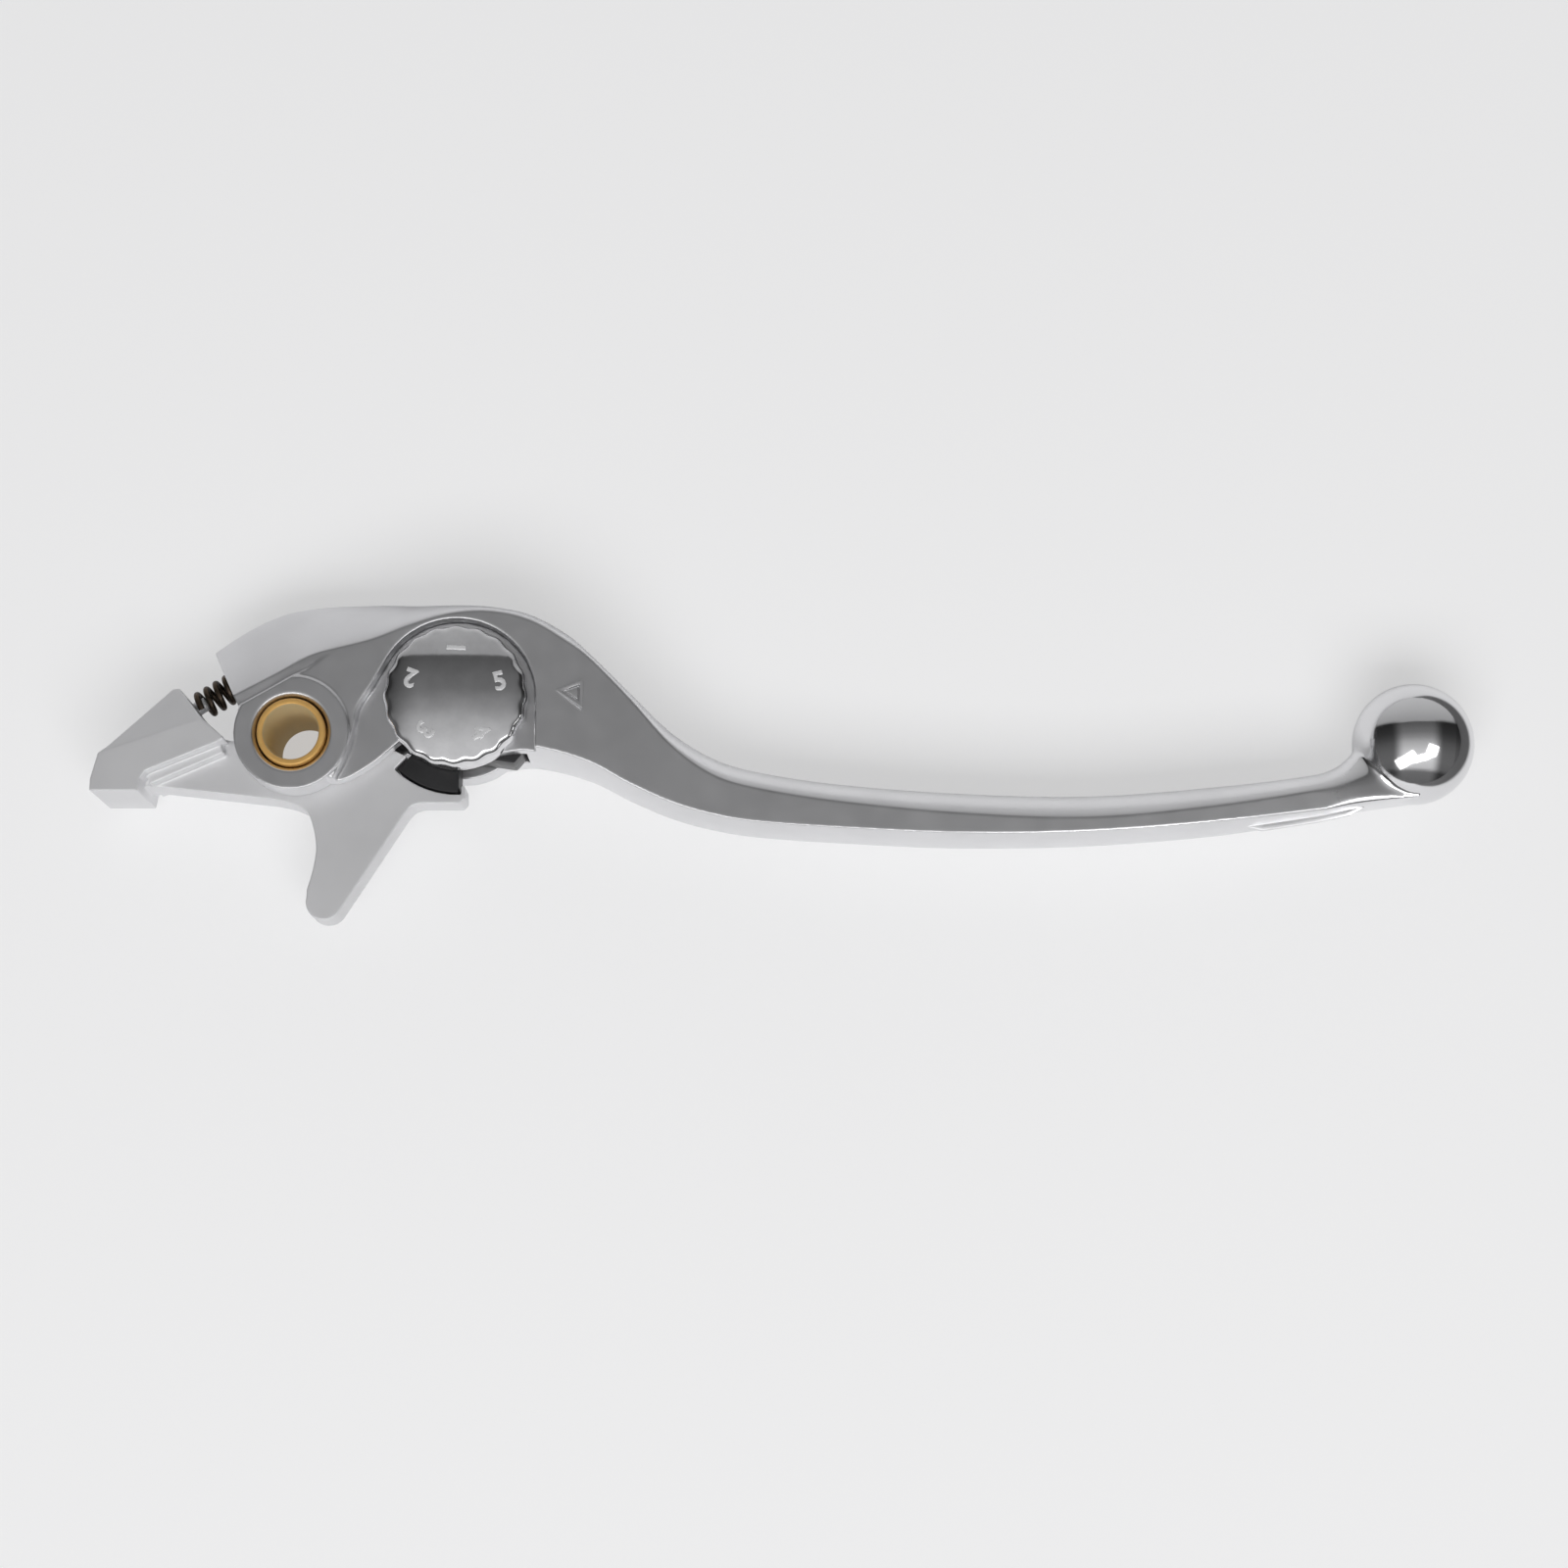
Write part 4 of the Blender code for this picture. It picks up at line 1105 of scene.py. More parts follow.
    def add_rider_rib(self, sizes, finish):
        """The fine rib that runs along the rider's side near the ball."""
        curves = lever_curves(sizes)
        loops = []
        for i in range(RIB_STEPS + 1):
            share = i / RIB_STEPS
            x = RIB_FROM[0] + share * (RIB_TO[0] - RIB_FROM[0])
            top = RIB_FROM[1] + share * (RIB_TO[1] - RIB_FROM[1])
            side = lever_section(x, curves, sizes)[-SECTION_RIDER:]
            wall = curve_at([(z, y) for _, y, z in side], top)
            foot = wall + RIB_OUT
            out = wall - RIB_OUT * min(1.0, RIB_FADE * share, RIB_FADE * (1 - share))
            low = top - RIB_TALL
            corners = [(foot, top), (out, top), (out, low), (foot, low)]
            loops.append([(x, y, z) for y, z in corners])
        rib = stack("rider_rib", loops)
        bevel_edges(rib, EDGE_FINE, segments=2)
        fit_piece(rib, "lever", "polished_aluminium", finish)

    def add_pointer(self, sizes, finish):
        """The raised triangle that faces the dial: a frame with a smaller triangle in it."""
        top = BOSS_TOP - sizes.boss_raise
        corners = [Vector((DIAL.x + x, DIAL.y + y)) for x, y in POINTER]
        middle = sum(corners, Vector((0.0, 0.0))) / 3

        def shrunk(share):
            return [middle + share * (corner - middle) for corner in corners]

        foot = top - POINTER_FOOT
        pointer = prism("index_pointer", shrunk(1.0), foot, top + POINTER_RAISE)
        combine(pointer, prism("window", shrunk(WINDOW_SHARE), top - PAST, top + PAST), "DIFFERENCE")
        combine(pointer, prism("core", shrunk(CORE_SHARE), foot, top + CORE_RAISE), "UNION")
        bevel_edges(pointer, EDGE_POINTER, segments=2)
        fit_piece(pointer, "lever", "polished_aluminium", finish)


class LEVER_OT_knuckle(bpy.types.Operator):
    """Makes the knuckle with its hub, arm, push finger and tab"""

    bl_idname = "lever.knuckle"
    bl_label = "Knuckle"

    def execute(self, context):
        sizes = context.scene.lever_castings
        low, high = MID_Z - PLATE_HALF, MID_Z + PLATE_HALF
        knuckle = prism("knuckle_casting", self.plate(sizes), low, high)
        combine(knuckle, self.arm(), "UNION")
        ledge = prism("arm_ledge", ARM_LEDGE, MID_Z - ARM_LEDGE_HALF, MID_Z + ARM_LEDGE_HALF)
        combine(knuckle, ledge, "UNION")
        spring = context.scene.lever_spring
        seat, way, distance = spring_line(spring)
        wall = seat + way * distance
        peg_r = spring.radius - spring.wire - GAP
        peg = round_bar("peg", peg_r, wall - way * PEG_LENGTH, wall + way * PAST, PEG_SIDES)
        combine(knuckle, peg, "UNION")
        bore = BUSH_R + GAP
        cutter = turned("bore", [(bore, 0.0), (bore, BUSH_HIGH.z)], BORE_SIDES)
        combine(knuckle, cutter, "DIFFERENCE")
        round_edges(knuckle, sizes.grain, KNUCKLE_FACES)
        colour = context.scene.lever_finishes.aluminium
        finish = casting_finish("tumbled_knuckle", colour)
        fit_piece(knuckle, "knuckle", "cast_aluminium", finish, "knuckle")
        return {"FINISHED"}

    def plate(self, sizes):
        """Outline of the plate: hub, web, finger, tab and the pad's seat."""
        lip_end = SEAT_TO + LIP_LENGTH / SEAT_R
        lip_r = SEAT_R - LIP_HEIGHT
        tab_x = from_dial(SEAT_R, lip_end)[0]
        tab_y = from_dial(SEAT_R + LIP_HEIGHT, SEAT_TO)[1]
        tip_end = FINGER_EDGE_TURN - math.pi / 2
        tip = arc(FINGER_TIP, FINGER_TIP_R, FINGER_TIP_FROM, tip_end, TIP_STEPS)
        rise = tab_y - CROTCH_DROP - tip[-1][1]
        crotch = (tip[-1][0] + rise / math.tan(FINGER_EDGE_TURN), tab_y - CROTCH_DROP)
        bend = (crotch[0] + CROTCH_BEND[0] * CROTCH_RUN, tab_y - CROTCH_BEND[1] * CROTCH_DROP)
        plate = arc((0.0, 0.0), sizes.hub_r, HUB_FROM, HUB_TO, HUB_STEPS)
        plate += ARM_WEB
        plate += flow(FINGER_EDGE, FINGER_STEPS)
        plate += tip
        plate += flow([crotch, bend, (crotch[0] + CROTCH_RUN, tab_y)], EDGE_STEPS)
        plate += [(tab_x - TAB_CORNER, tab_y), (tab_x, tab_y + TAB_CORNER)]
        plate += [from_dial(lip_r, lip_end), from_dial(lip_r, SEAT_TO)]
        plate += arc(DIAL, SEAT_R, SEAT_TO, SEAT_FROM, SEAT_STEPS)
        return plate + [from_dial(SEAT_R - SEAT_SHOULDER, SEAT_FROM), TAB_ROOT]

    def arm(self):
        """The arm: a flat top, a facet that falls away from it, and the same below."""
        a, b = Vector(ARM_FACET[0]), Vector(ARM_FACET[-1])
        across = Vector(((b - a).y, -(b - a).x)).normalized()
        bm = bmesh.new()
        outline = [*ARM_FACET[:-1], *ARM_FLAT[2:], ARM_FLAT[0]]
        sides = []
        for way in (-1, 1):
            verts = {}
            for p in outline:
                half = ARM_HALF - ARM_SLOPE * max((Vector(p) - a).dot(across), 0.0)
                verts[p] = bm.verts.new((*p, MID_Z + way * half))
            bm.faces.new([verts[p] for p in ARM_FLAT])
            bm.faces.new([verts[p] for p in ARM_FACET])
            sides.append([verts[p] for p in outline])
        for i in range(len(outline)):
            j = (i + 1) % len(outline)
            bm.faces.new((sides[0][i], sides[0][j], sides[1][j], sides[1][i]))
        return from_bmesh("arm", bm)


class LEVER_OT_bush(bpy.types.Operator):
    """Makes the brass bush of the pivot"""

    bl_idname = "lever.bush"
    bl_label = "Pivot bush"

    def execute(self, context):
        bore, chamfer = BUSH_BORE_R, BUSH_CHAMFER
        low, high = BUSH_LOW.z, BUSH_HIGH.z
        profile = [(bore, low + 2 * chamfer), (bore + chamfer, low), (BUSH_R - chamfer, low)]
        profile += [(BUSH_R, low + chamfer), (BUSH_R, high - chamfer), (BUSH_R - chamfer, high)]
        profile += [(bore + chamfer, high), (bore, high - 2 * chamfer)]
        bush = turned("brass_bush", profile, BUSH_SIDES, closed=True)
        bevel_edges(bush, EDGE_TURNED, segments=2)
        finish = self.finish(context.scene.lever_finishes, bore + chamfer)
        fit_piece(bush, "bush", "bush_brass", finish, "pivot_bush")
        return {"FINISHED"}

    def finish(self, finishes, bore):
        """Turned brass, rougher in the bore and paler there: the paler colour is painted light in the
        bore's shade.
        """
        metal = (finishes.brass, BRASS_METALLIC, BRASS_ROUGH)
        finish, nodes, shader = turned_finish("turned_brass", *metal)
        place = nodes.add("ShaderNodeTexCoord").outputs["Object"]
        away = nodes.add("ShaderNodeVectorMath", {0: place, 1: PIVOT}, operation="SUBTRACT").outputs[0]
        parts = nodes.add("ShaderNodeSeparateXYZ", {0: away}).outputs
        flat = nodes.add("ShaderNodeCombineXYZ", {"X": parts["X"], "Y": parts["Y"]}).outputs[0]
        reach = nodes.add("ShaderNodeVectorMath", {0: flat}, operation="LENGTH").outputs["Value"]
        span = {"Value": reach, "From Min": bore - HAIR, "From Max": bore}
        share = nodes.add("ShaderNodeMapRange", span).outputs["Result"]
        brass = shader.inputs["Base Color"].links[0].from_socket
        # Painted light: the bore takes a paler colour than the brass, to lighten its shade
        with_painted_bore = nodes.mix(share, (*finishes.bore_painted_light, 1.0), brass)
        nodes.tree.links.new(with_painted_bore, shader.inputs["Base Color"])
        span = {"Value": share, "To Min": BORE_ROUGH, "To Max": BRASS_ROUGH}
        gloss = nodes.add("ShaderNodeMapRange", span).outputs["Result"]
        nodes.tree.links.new(gloss, shader.inputs["Roughness"])
        return finish


class LEVER_OT_dial(bpy.types.Operator):
    """Makes the chromed dial with its scalloped rim, shaft and plain numbers"""

    bl_idname = "lever.dial"
    bl_label = "Dial"

    def execute(self, context):
        sizes = context.scene.lever_dial
        colour = context.scene.lever_finishes.chrome
        radius = (DIAL_HIGH.x - DIAL_LOW.x) / 2 + sizes.spread
        finish = plain_finish("bright_chrome", colour)
        dial = turned("chrome_dial", self.profile(radius, sizes.crown), DIAL_SIDES, DIAL)
        values = {
            "Centre": Vector(DIAL),
            "Radius": radius,
            "Depth": sizes.scallop_depth,
            "Scallops": sizes.scallops,
            "Lowest": WAVE_LOW.z,
        }
        apply_shape_tree(dial, scallop_tree(values), values, finish)
        dial.data.shade_smooth()
        dial.data.set_sharp_from_angle(angle=DIAL_SHARP_ANGLE)
        fit_piece(dial, "dial", "dial_chrome", finish, "adjuster_dial")
        self.add_marks(sizes, radius, plain_finish("satin_chrome", colour))
        return {"FINISHED"}

    def profile(self, radius, crown):
        """The dial's section, from the shaft's lower end to the middle of the crowned top."""
        under, edge = WAVE_LOW.z, DIAL_HIGH.z - crown
        points = self.shaft_profile()
        points += [(radius - RIM_ROUND, under), (radius, under + RIM_ROUND)]
        points += [(radius + r, edge + z) for r, z in DIAL_EDGE]
        flat = points[-1][0]
        for i in range(1, CROWN_STEPS):
            share = 1 - i / CROWN_STEPS
            points.append((flat * share, edge + crown * (1 - share**2)))
        return points + [(POLE_R, DIAL_HIGH.z)]

    def shaft_profile(self):
        """The section of the shaft with the clip's groove, and of the washer's groove under the dial."""
        low, high = CLIP_LOW.z - GAP / 2, CLIP_HIGH.z + GAP / 2
        key_low, key_high = MID_Z - PLATE_HALF, MID_Z + PLATE_HALF
        under, roof = WAVE_LOW.z, WAVE_HIGH.z + GAP
        inner, outer = WAVE_SEAT
        points = [(SHAFT_END_R - SHAFT_ROUND, DIAL_LOW.z), (SHAFT_END_R, DIAL_LOW.z + SHAFT_ROUND)]
        points += [(SHAFT_END_R, low), (GROOVE_R, low), (GROOVE_R, high), (SHAFT_END_R, high)]
        points += [(SHAFT_END_R, key_low), (SHAFT_KEY_R, key_low), (SHAFT_KEY_R, key_high)]
        points += [(SHAFT_R, key_high), (SHAFT_R, under), (inner, under), (inner, roof)]
        return points + [(outer, roof), (outer, under)]

    def add_marks(self, sizes, radius, finish):
        """The raised numbers, each turned to face the pointer when its setting is chosen."""
        marks = []
        flat = radius + DIAL_EDGE[-1][0]
        drop = sizes.crown * (sizes.mark_r / flat) ** 2
        for text, degrees in DIAL_MARKS.items():
            turn = math.radians(degrees)
            letter = bpy.data.curves.new(f"mark_{text}", "FONT")
            letter.body = text
            letter.size = sizes.mark_size
            letter.align_x = "CENTER"
            letter.align_y = "CENTER"
            letter.extrude = MARK_HALF
            letter.bevel_depth = MARK_ROUND
            letter.bevel_resolution = 3
            mark = show(f"mark_{text}", letter)
            bpy.context.view_layer.update()
            shaped = mark.evaluated_get(bpy.context.evaluated_depsgraph_get())
            mesh = bpy.data.meshes.new_from_object(shaped)
            bpy.data.objects.remove(mark)
            spot = Vector((*from_dial(sizes.mark_r, turn), DIAL_HIGH.z - drop - MARK_SINK))
            mesh.transform(Matrix.Translation(spot) @ Matrix.Rotation(turn, 4, "Z"))
            marks.append(mesh)
        bm = bmesh.new()
        for mesh in marks:
            bm.from_mesh(mesh)
            bpy.data.meshes.remove(mesh)
        bmesh.ops.remove_doubles(bm, verts=bm.verts, dist=MARK_WELD)
        ring = from_bmesh("dial_numbers", bm)
        ring.data.shade_smooth()
        ring.data.set_sharp_from_angle(angle=SHARP_ANGLE)
        fit_piece(ring, "dial", "dial_chrome", finish)


def scallop_tree(sizes):
    """Draws the rim in and out round the dial: as many scallops as asked, each as deep as asked."""
    tree, nodes, given = shape_tree("scalloped_rim", sizes)
    ends = {0: nodes.add("GeometryNodeInputPosition").outputs[0], 1: given["Centre"]}
    away = nodes.add("ShaderNodeVectorMath", ends, operation="SUBTRACT").outputs[0]
    parts = nodes.add("ShaderNodeSeparateXYZ", {0: away}).outputs
    flat = nodes.add("ShaderNodeCombineXYZ", {"X": parts["X"], "Y": parts["Y"]}).outputs[0]
    reach = nodes.add("ShaderNodeVectorMath", {0: flat}, operation="LENGTH").outputs["Value"]
    turn = nodes.math("ARCTAN2", parts["Y"], parts["X"])
    wave = nodes.math("COSINE", nodes.math("MULTIPLY", turn, given["Scallops"]))
    half = nodes.math("MULTIPLY", given["Depth"], 0.5)
    dip = nodes.math("MULTIPLY", nodes.math("SUBTRACT", 1.0, wave), half)
    start, end = (nodes.math("SUBTRACT", given["Radius"], inside) for inside in SCALLOP_SPAN)
    span = {"Value": reach, "From Min": start, "From Max": end}
    share = nodes.add("ShaderNodeMapRange", span, interpolation_type="SMOOTHSTEP").outputs["Result"]
    above = nodes.math("GREATER_THAN", parts["Z"], nodes.math("SUBTRACT", given["Lowest"], HAIR))
    amount = nodes.math("MULTIPLY", nodes.math("MULTIPLY", dip, share), above)
    inward = nodes.add("ShaderNodeVectorMath", {0: flat}, operation="NORMALIZE").outputs[0]
    back = nodes.math("MULTIPLY", amount, -1.0)
    offset = nodes.add("ShaderNodeVectorMath", {0: inward, "Scale": back}, operation="SCALE").outputs[0]
    rim = {"Geometry": given["Geometry"], "Offset": offset}
    moved = nodes.add("GeometryNodeSetPosition", rim).outputs[0]
    end_shape_tree(nodes, moved, given["Material"])
    return tree


class LEVER_OT_cam(bpy.types.Operator):
    """Makes the snail cam on the dial's shaft and the pad that it bears on"""

    bl_idname = "lever.cam"
    bl_label = "Cam and pad"

    def execute(self, context):
        sizes = context.scene.lever_dial
        black = context.scene.lever_finishes.black
        low, high = MID_Z - PLATE_HALF, MID_Z + PLATE_HALF
        outline = []
        for i in range(CAM_STEPS + 1):
            share = i / CAM_STEPS
            radius = sizes.cam_tip_r + (sizes.cam_low_r - sizes.cam_tip_r) * share * CAM_SHARE
            outline.append(from_dial(radius, CAM_FROM + CAM_SPAN * share))
        cam = prism("snail_cam", outline, low, high)
        bore = SHAFT_KEY_R + GAP
        key = turned("key", [(bore, low - PAST), (bore, high + PAST)], KEY_SIDES, DIAL)
        combine(cam, key, "DIFFERENCE")
        bevel_edges(cam, EDGE_CAM)
        finish = plain_finish("black_oxide", black)
        fit_piece(cam, "dial", "black_cam", finish, "adjuster_cam")

        # The pad's black is its own finish and also painted shade, filling the dark gap under the dial
        pad = prism("seat_pad", self.pad_outline(sizes.cam_tip_r + GAP), low, high)
        bevel_edges(pad, EDGE_PAD)
        finish = plain_finish("black_pad", black)
        fit_piece(pad, "knuckle", "black_pad", finish, "cam_pad")
        return {"FINISHED"}

    def pad_outline(self, radius):
        """The pad between its bearing face and its seat."""
        centre = turned_by(DIAL, REACH_SWING)
        x, y = DIAL.x - centre[0], DIAL.y - centre[1]
        gap = GAP / (SEAT_R - SEAT_SHOULDER)
        start, end = SEAT_FROM + gap, SEAT_TO - gap
        face = []
        for i in range(SEAT_STEPS + 1):
            turn = start + (end - start) * i / SEAT_STEPS
            along = x * math.cos(turn) + y * math.sin(turn)
            face.append(from_dial(math.sqrt(along**2 - x * x - y * y + radius**2) - along, turn))
        return face + arc(DIAL, SEAT_R - GAP, end, start, SEAT_STEPS)


class LEVER_OT_spring(bpy.types.Operator):
    """Winds the spring from its pocket in the head to the arm"""

    bl_idname = "lever.spring"
    bl_label = "Return spring"

    def execute(self, context):
        sizes = context.scene.lever_spring
        seat, way, distance = spring_line(sizes)
        half = sizes.wire / 2
        start = -sizes.pocket + GAP + half
        length = distance - GAP - half - start
        finish = plain_finish("oiled_wire", context.scene.lever_finishes.wire)
        values = {
            "Radius": sizes.radius - half,
            "Wire": half,
            "Length": length,
            "Curls": length / sizes.pitch,
            "Start": PIVOT + seat + way * start,
            "Turn": Vector(way.to_track_quat("Z", "Y").to_euler()),
        }
        spring = show("wound_spring", bpy.data.meshes.new("wound_spring"))
        apply_shape_tree(spring, helix_tree(values), values, finish)
        spring.data.shade_smooth()
        dress_piece(spring, "spring_wire", finish, "return_spring")
        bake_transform(spring)
        return {"FINISHED"}


def helix_tree(sizes):
    """Winds a round wire into an even coil from a start point, in a direction."""
    tree, nodes, given = shape_tree("wound_wire", sizes)
    coil = nodes.add(
        "GeometryNodeCurveSpiral",
        {
            "Resolution": CURL_STEPS,
            "Rotations": given["Curls"],
            "Start Radius": given["Radius"],
            "End Radius": given["Radius"],
            "Height": given["Length"],
        },
    ).outputs[0]
    section = {"Resolution": WIRE_SIDES, "Radius": given["Wire"]}
    wire = nodes.add("GeometryNodeCurvePrimitiveCircle", section).outputs[0]
    sweep = {"Curve": coil, "Profile Curve": wire, "Fill Caps": True}
    tube = nodes.add("GeometryNodeCurveToMesh", sweep).outputs[0]
    euler = nodes.add("FunctionNodeEulerToRotation", {0: given["Turn"]}).outputs[0]
    place = {"Geometry": tube, "Translation": given["Start"], "Rotation": euler}
    placed = nodes.add("GeometryNodeTransform", place).outputs[0]
    end_shape_tree(nodes, placed, given["Material"])
    return tree


class LEVER_OT_washers(bpy.types.Operator):
    """Makes the wave washer under the dial, and the washer and clip below the lower ear"""

    bl_idname = "lever.washers"
    bl_label = "Washers and clip"

    def execute(self, context):
        steel = context.scene.lever_finishes.steel
        plated = plain_finish("plated_steel", steel)
        sprung = plain_finish("spring_steel", [SPRUNG_SHADE * c for c in steel])
        self.wave(sprung)
        self.flat(plated)
        self.clip(sprung)
        return {"FINISHED"}

    def wave(self, finish):
        """A ring that rises and falls four times."""
        outer = (WAVE_HIGH.x - WAVE_LOW.x) / 2
        lift = WAVE_HIGH.z - WAVE_LOW.z - WAVE_THICK
        bm = bmesh.new()
        rows = []
        for i in range(WAVE_SIDES):
            a = math.tau * i / WAVE_SIDES
            low = WAVE_LOW.z + lift * (1 + math.cos(WAVES * a)) / 2
            high = low + WAVE_THICK
            corners = [(WAVE_BORE_R, low), (outer, low), (outer, high), (WAVE_BORE_R, high)]
            rows.append([bm.verts.new((*from_dial(r, a), h)) for r, h in corners])
        for a, b in zip(rows, rows[1:] + rows[:1]):
            for i in range(len(a)):
                j = (i + 1) % len(a)
                bm.faces.new((a[i], b[i], b[j], a[j]))
        washer = from_bmesh("sprung_washer", bm)
        bevel_edges(washer, EDGE_FINE, segments=2)
        fit_piece(washer, "lever", "spring_steel", finish, "wave_washer")

    def flat(self, finish):
        """A flat ring on the shaft's lower end."""
        low, high = WASHER_LOW.z, WASHER_HIGH.z
        profile = [(WASHER_BORE_R, low), (WASHER_R, low), (WASHER_R, high), (WASHER_BORE_R, high)]
        washer = turned("flat_washer", profile, BORE_SIDES, DIAL, closed=True)
        bevel_edges(washer, EDGE_TURNED, segments=2)
        fit_piece(washer, "lever", "plain_steel", finish, "dial_washer")

    def clip(self, finish):
        """An open clip that bites into the shaft's groove at three places."""
        outer = (CLIP_HIGH.y - CLIP_LOW.y) / 2
        outline = arc(DIAL, outer, CLIP_MOUTH, math.tau - CLIP_MOUTH, CLIP_STEPS)
        for i in range(CLIP_STEPS + 1):
            a = math.tau - CLIP_MOUTH + (2 * CLIP_MOUTH - math.tau) * i / CLIP_STEPS
            back = math.cos(CLIP_TEETH / 2 * (a - math.pi)) ** CLIP_NARROW
            tips = ease(abs(a - math.pi), CLIP_TIPS_FROM, math.pi - CLIP_MOUTH)
            tooth = min(max(back, tips), 1.0)
            outline.append(from_dial(CLIP_BORE_R + (CLIP_GRIP_R - CLIP_BORE_R) * tooth, a))
        clip = prism("shaft_clip", outline, CLIP_LOW.z, CLIP_HIGH.z)
        bevel_edges(clip, EDGE_TURNED, segments=2)
        fit_piece(clip, "dial", "spring_steel", finish, "dial_circlip")


class LEVER_OT_stage(bpy.types.Operator):
    """Sets the floor, the studio light and the camera"""

    bl_idname = "lever.stage"
    bl_label = "Stage"

    def execute(self, context):
        self.floor(context.scene.lever_finishes.floor)
        self.sky()
        self.lamps()
        self.camera(context.scene)
        context.scene.view_settings.view_transform = "Standard"
        return {"FINISHED"}

    def floor(self, colour):
        """A wide pale floor with a glow to the eye, and painted reflections for the metal: a glow in
        mirrors, taken away beside and behind the head, and a dark colour past the ball.
        """
        bm = bmesh.new()
        bmesh.ops.create_grid(bm, x_segments=1, y_segments=1, size=FLOOR_HALF)
        floor = from_bmesh("floor", bm)
        finish, nodes, shader = new_finish("pale_floor", colour, 0.0, FLOOR_ROUGH)
        place = nodes.add("ShaderNodeTexCoord").outputs["Object"]
        ray = nodes.add("ShaderNodeLightPath").outputs
        parts = nodes.add("ShaderNodeSeparateXYZ", {0: place}).outputs
        far = self.step(nodes, parts["X"], *FLOOR_FAR)
        beside = self.step(nodes, parts["X"], *FLOOR_BESIDE)
        behind = nodes.math("MULTIPLY", beside, self.step(nodes, parts["Y"], *FLOOR_BEHIND))
        # Painted reflection: past the ball the floor turns dark only where metal mirrors it
        painted_dark = nodes.math("MULTIPLY", far, ray["Is Glossy Ray"])
        shown = nodes.mix(painted_dark, (*colour, 1.0), (*FLOOR_PAINTED_DARK, 1.0))
        nodes.tree.links.new(shown, shader.inputs["Base Color"])
        glow = nodes.add("ShaderNodeEmission")
        glow.inputs["Color"].default_value = (1.0, 1.0, 1.0, 1.0)
        # Painted reflection: the floor glows in mirrors, but not past the ball nor beside and behind the
        # head
        left = nodes.math("SUBTRACT", MIRRORED_GLOW, nodes.math("MAXIMUM", far, behind))
        mirrored = nodes.math("MULTIPLY", ray["Is Glossy Ray"], left)
        mirrored = nodes.math("MAXIMUM", mirrored, 0.0)
        share = nodes.math("MULTIPLY_ADD", ray["Is Camera Ray"], FLOOR_GLOW, mirrored)
        both = nodes.add("ShaderNodeMixShader", {0: share, 1: shader.outputs[0], 2: glow.outputs[0]})
        nodes.tree.links.new(both.outputs[0], nodes.tree.nodes["Material Output"].inputs["Surface"])
        floor.data.materials.append(finish)

    def sky(self):
        """A pale room, dark overhead beyond the camera and darker at both flanks and past the ball."""
        world = bpy.data.worlds.new("studio")
        world.use_nodes = True
        nodes = Tree(world.node_tree)
        way = nodes.add("ShaderNodeTexCoord").outputs["Generated"]
        parts = nodes.add("ShaderNodeSeparateXYZ", {0: way}).outputs
        # Reach is the length of the ray's way plus straight up, so tilt is twice the lean of their sum
        square = nodes.math("MULTIPLY_ADD", parts["Z"], 2.0, 2.0)
        reach = nodes.math("SQRT", nodes.math("MAXIMUM", square, SKY_LEAST))
        lean = nodes.math("DIVIDE", parts["Y"], reach)
        tilt = nodes.math("MULTIPLY", nodes.math("ARCSINE", lean), 2.0)
        ramp = nodes.add("ShaderNodeValToRGB")
        nodes.tree.links.new(nodes.math("ADD", nodes.math("DIVIDE", tilt, math.pi), 0.5), ramp.inputs[0])
        elements = ramp.color_ramp.elements
        elements[0].position, elements[1].position = 0.0, 1.0
        for i, (degrees, level) in enumerate(SKY_STOPS):
            spot = elements[0] if i == 0 else elements[len(elements) - 1]
            if 0 < i < len(SKY_STOPS) - 1:
                spot = elements.new(0.5 + degrees / 180)
            spot.color = (level, level, SKY_BLUE * level, 1.0)
        aside = nodes.math("DIVIDE", parts["X"], reach)
        ceiling = self.step(nodes, tilt, *SKY_CEILING)
        flank = self.step(nodes, nodes.math("ABSOLUTE", aside), *SKY_FLANK)
        far = self.step(nodes, aside, *SKY_FAR)
        shade = nodes.math("MAXIMUM", nodes.math("MULTIPLY", ceiling, flank), far)
        level = {0: ramp.outputs[0], "Scale": nodes.math("SUBTRACT", 1.0, shade)}
        glow = nodes.add("ShaderNodeVectorMath", level, operation="SCALE").outputs[0]
        back = world.node_tree.nodes["Background"]
        nodes.tree.links.new(glow, back.inputs["Color"])
        back.inputs["Strength"].default_value = 1.0
        bpy.context.scene.world = world

    def step(self, nodes, value, start, end, height):
        """A smooth step of a value from 0 at the start to its height at the end."""
        span = {"Value": value, "From Min": start, "From Max": end, "To Max": height}
        return nodes.add("ShaderNodeMapRange", span, interpolation_type="SMOOTHSTEP").outputs["Result"]

    def lamps(self):
        """A large soft box from the rider's side, and a strip and two cards that only the metal mirrors."""
        for name, spot, aim, (wide, tall), turn, watts, sheen in SOFT_BOXES:
            light = bpy.data.lights.new(name, "AREA")
            light.shape = "RECTANGLE"
            light.size = wide
            light.size_y = tall
            light.energy = watts
            lamp = bpy.data.objects.new(name, light)
            bpy.context.scene.collection.objects.link(lamp)
            lamp.location = spot
            facing = (aim - spot).to_track_quat("-Z", "Y")
            lamp.rotation_euler = (facing @ Quaternion((0.0, 0.0, 1.0), math.radians(turn))).to_euler()
            lamp.visible_camera = False
            lamp.visible_diffuse = not sheen
            lamp.visible_glossy = sheen

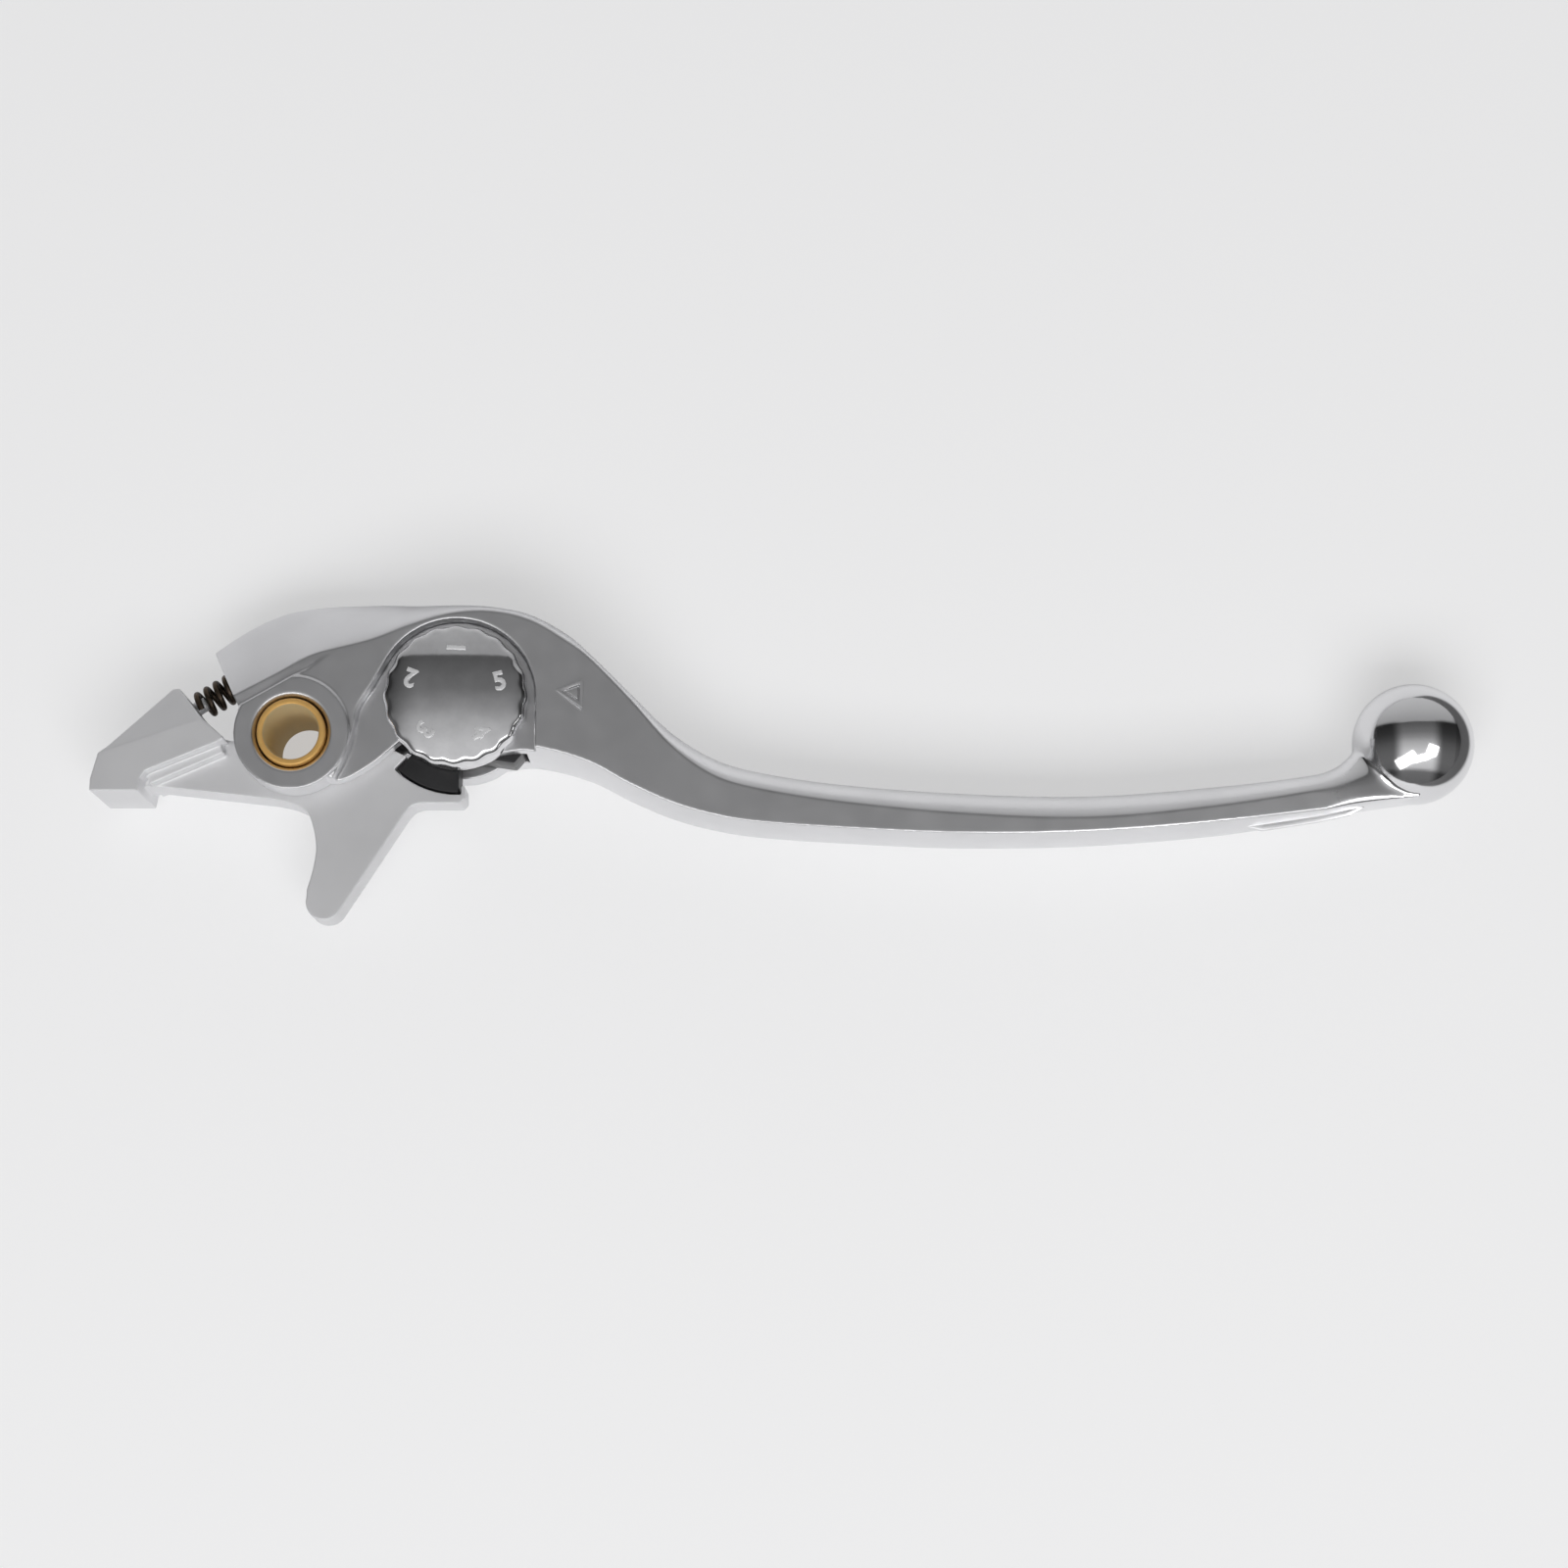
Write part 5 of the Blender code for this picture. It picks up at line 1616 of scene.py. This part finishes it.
    def camera(self, scene):
        """Looks down on the lever from a little towards the rider."""
        target = PIVOT + Vector(CAMERA_AIM)
        lens = bpy.data.cameras.new("camera")
        lens.lens = CAMERA_LENS
        lens.sensor_width = CAMERA_SENSOR
        eye = bpy.data.objects.new("camera", lens)
        scene.collection.objects.link(eye)
        way = Vector((0.0, -math.sin(CAMERA_TILT), math.cos(CAMERA_TILT)))
        eye.location = target + CAMERA_DISTANCE * way
        eye.rotation_euler = (CAMERA_TILT, 0.0, 0.0)
        scene.camera = eye


class LEVER_PT_parts(bpy.types.Panel):
    """Lists the lever's pieces and their sizes"""

    bl_idname = "LEVER_PT_parts"
    bl_label = "Hand lever"
    bl_space_type = "VIEW_3D"
    bl_region_type = "UI"
    bl_category = "Lever"

    def draw(self, context):
        for operator in OPERATORS:
            self.layout.operator(operator.bl_idname)
        for name, kind in SETTINGS.items():
            for key in kind.__annotations__:
                self.layout.prop(getattr(context.scene, name), key)


OPERATORS = (
    LEVER_OT_casting,
    LEVER_OT_knuckle,
    LEVER_OT_bush,
    LEVER_OT_dial,
    LEVER_OT_cam,
    LEVER_OT_spring,
    LEVER_OT_washers,
    LEVER_OT_stage,
)
SETTINGS = {
    "lever_castings": CastingSizes,
    "lever_dial": DialSizes,
    "lever_spring": SpringSizes,
    "lever_finishes": Finishes,
}


def register():
    for group in (*SETTINGS.values(), *OPERATORS, LEVER_PT_parts):
        bpy.utils.register_class(group)
    for name, group in SETTINGS.items():
        setattr(bpy.types.Scene, name, PointerProperty(type=group))


def unregister():
    for name in SETTINGS:
        delattr(bpy.types.Scene, name)
    for group in reversed((*SETTINGS.values(), *OPERATORS, LEVER_PT_parts)):
        bpy.utils.unregister_class(group)


def main():
    register()
    bpy.ops.lever.casting()
    bpy.ops.lever.knuckle()
    bpy.ops.lever.bush()
    bpy.ops.lever.dial()
    bpy.ops.lever.cam()
    bpy.ops.lever.spring()
    bpy.ops.lever.washers()
    bpy.ops.lever.stage()


if __name__ == "__main__":
    main()
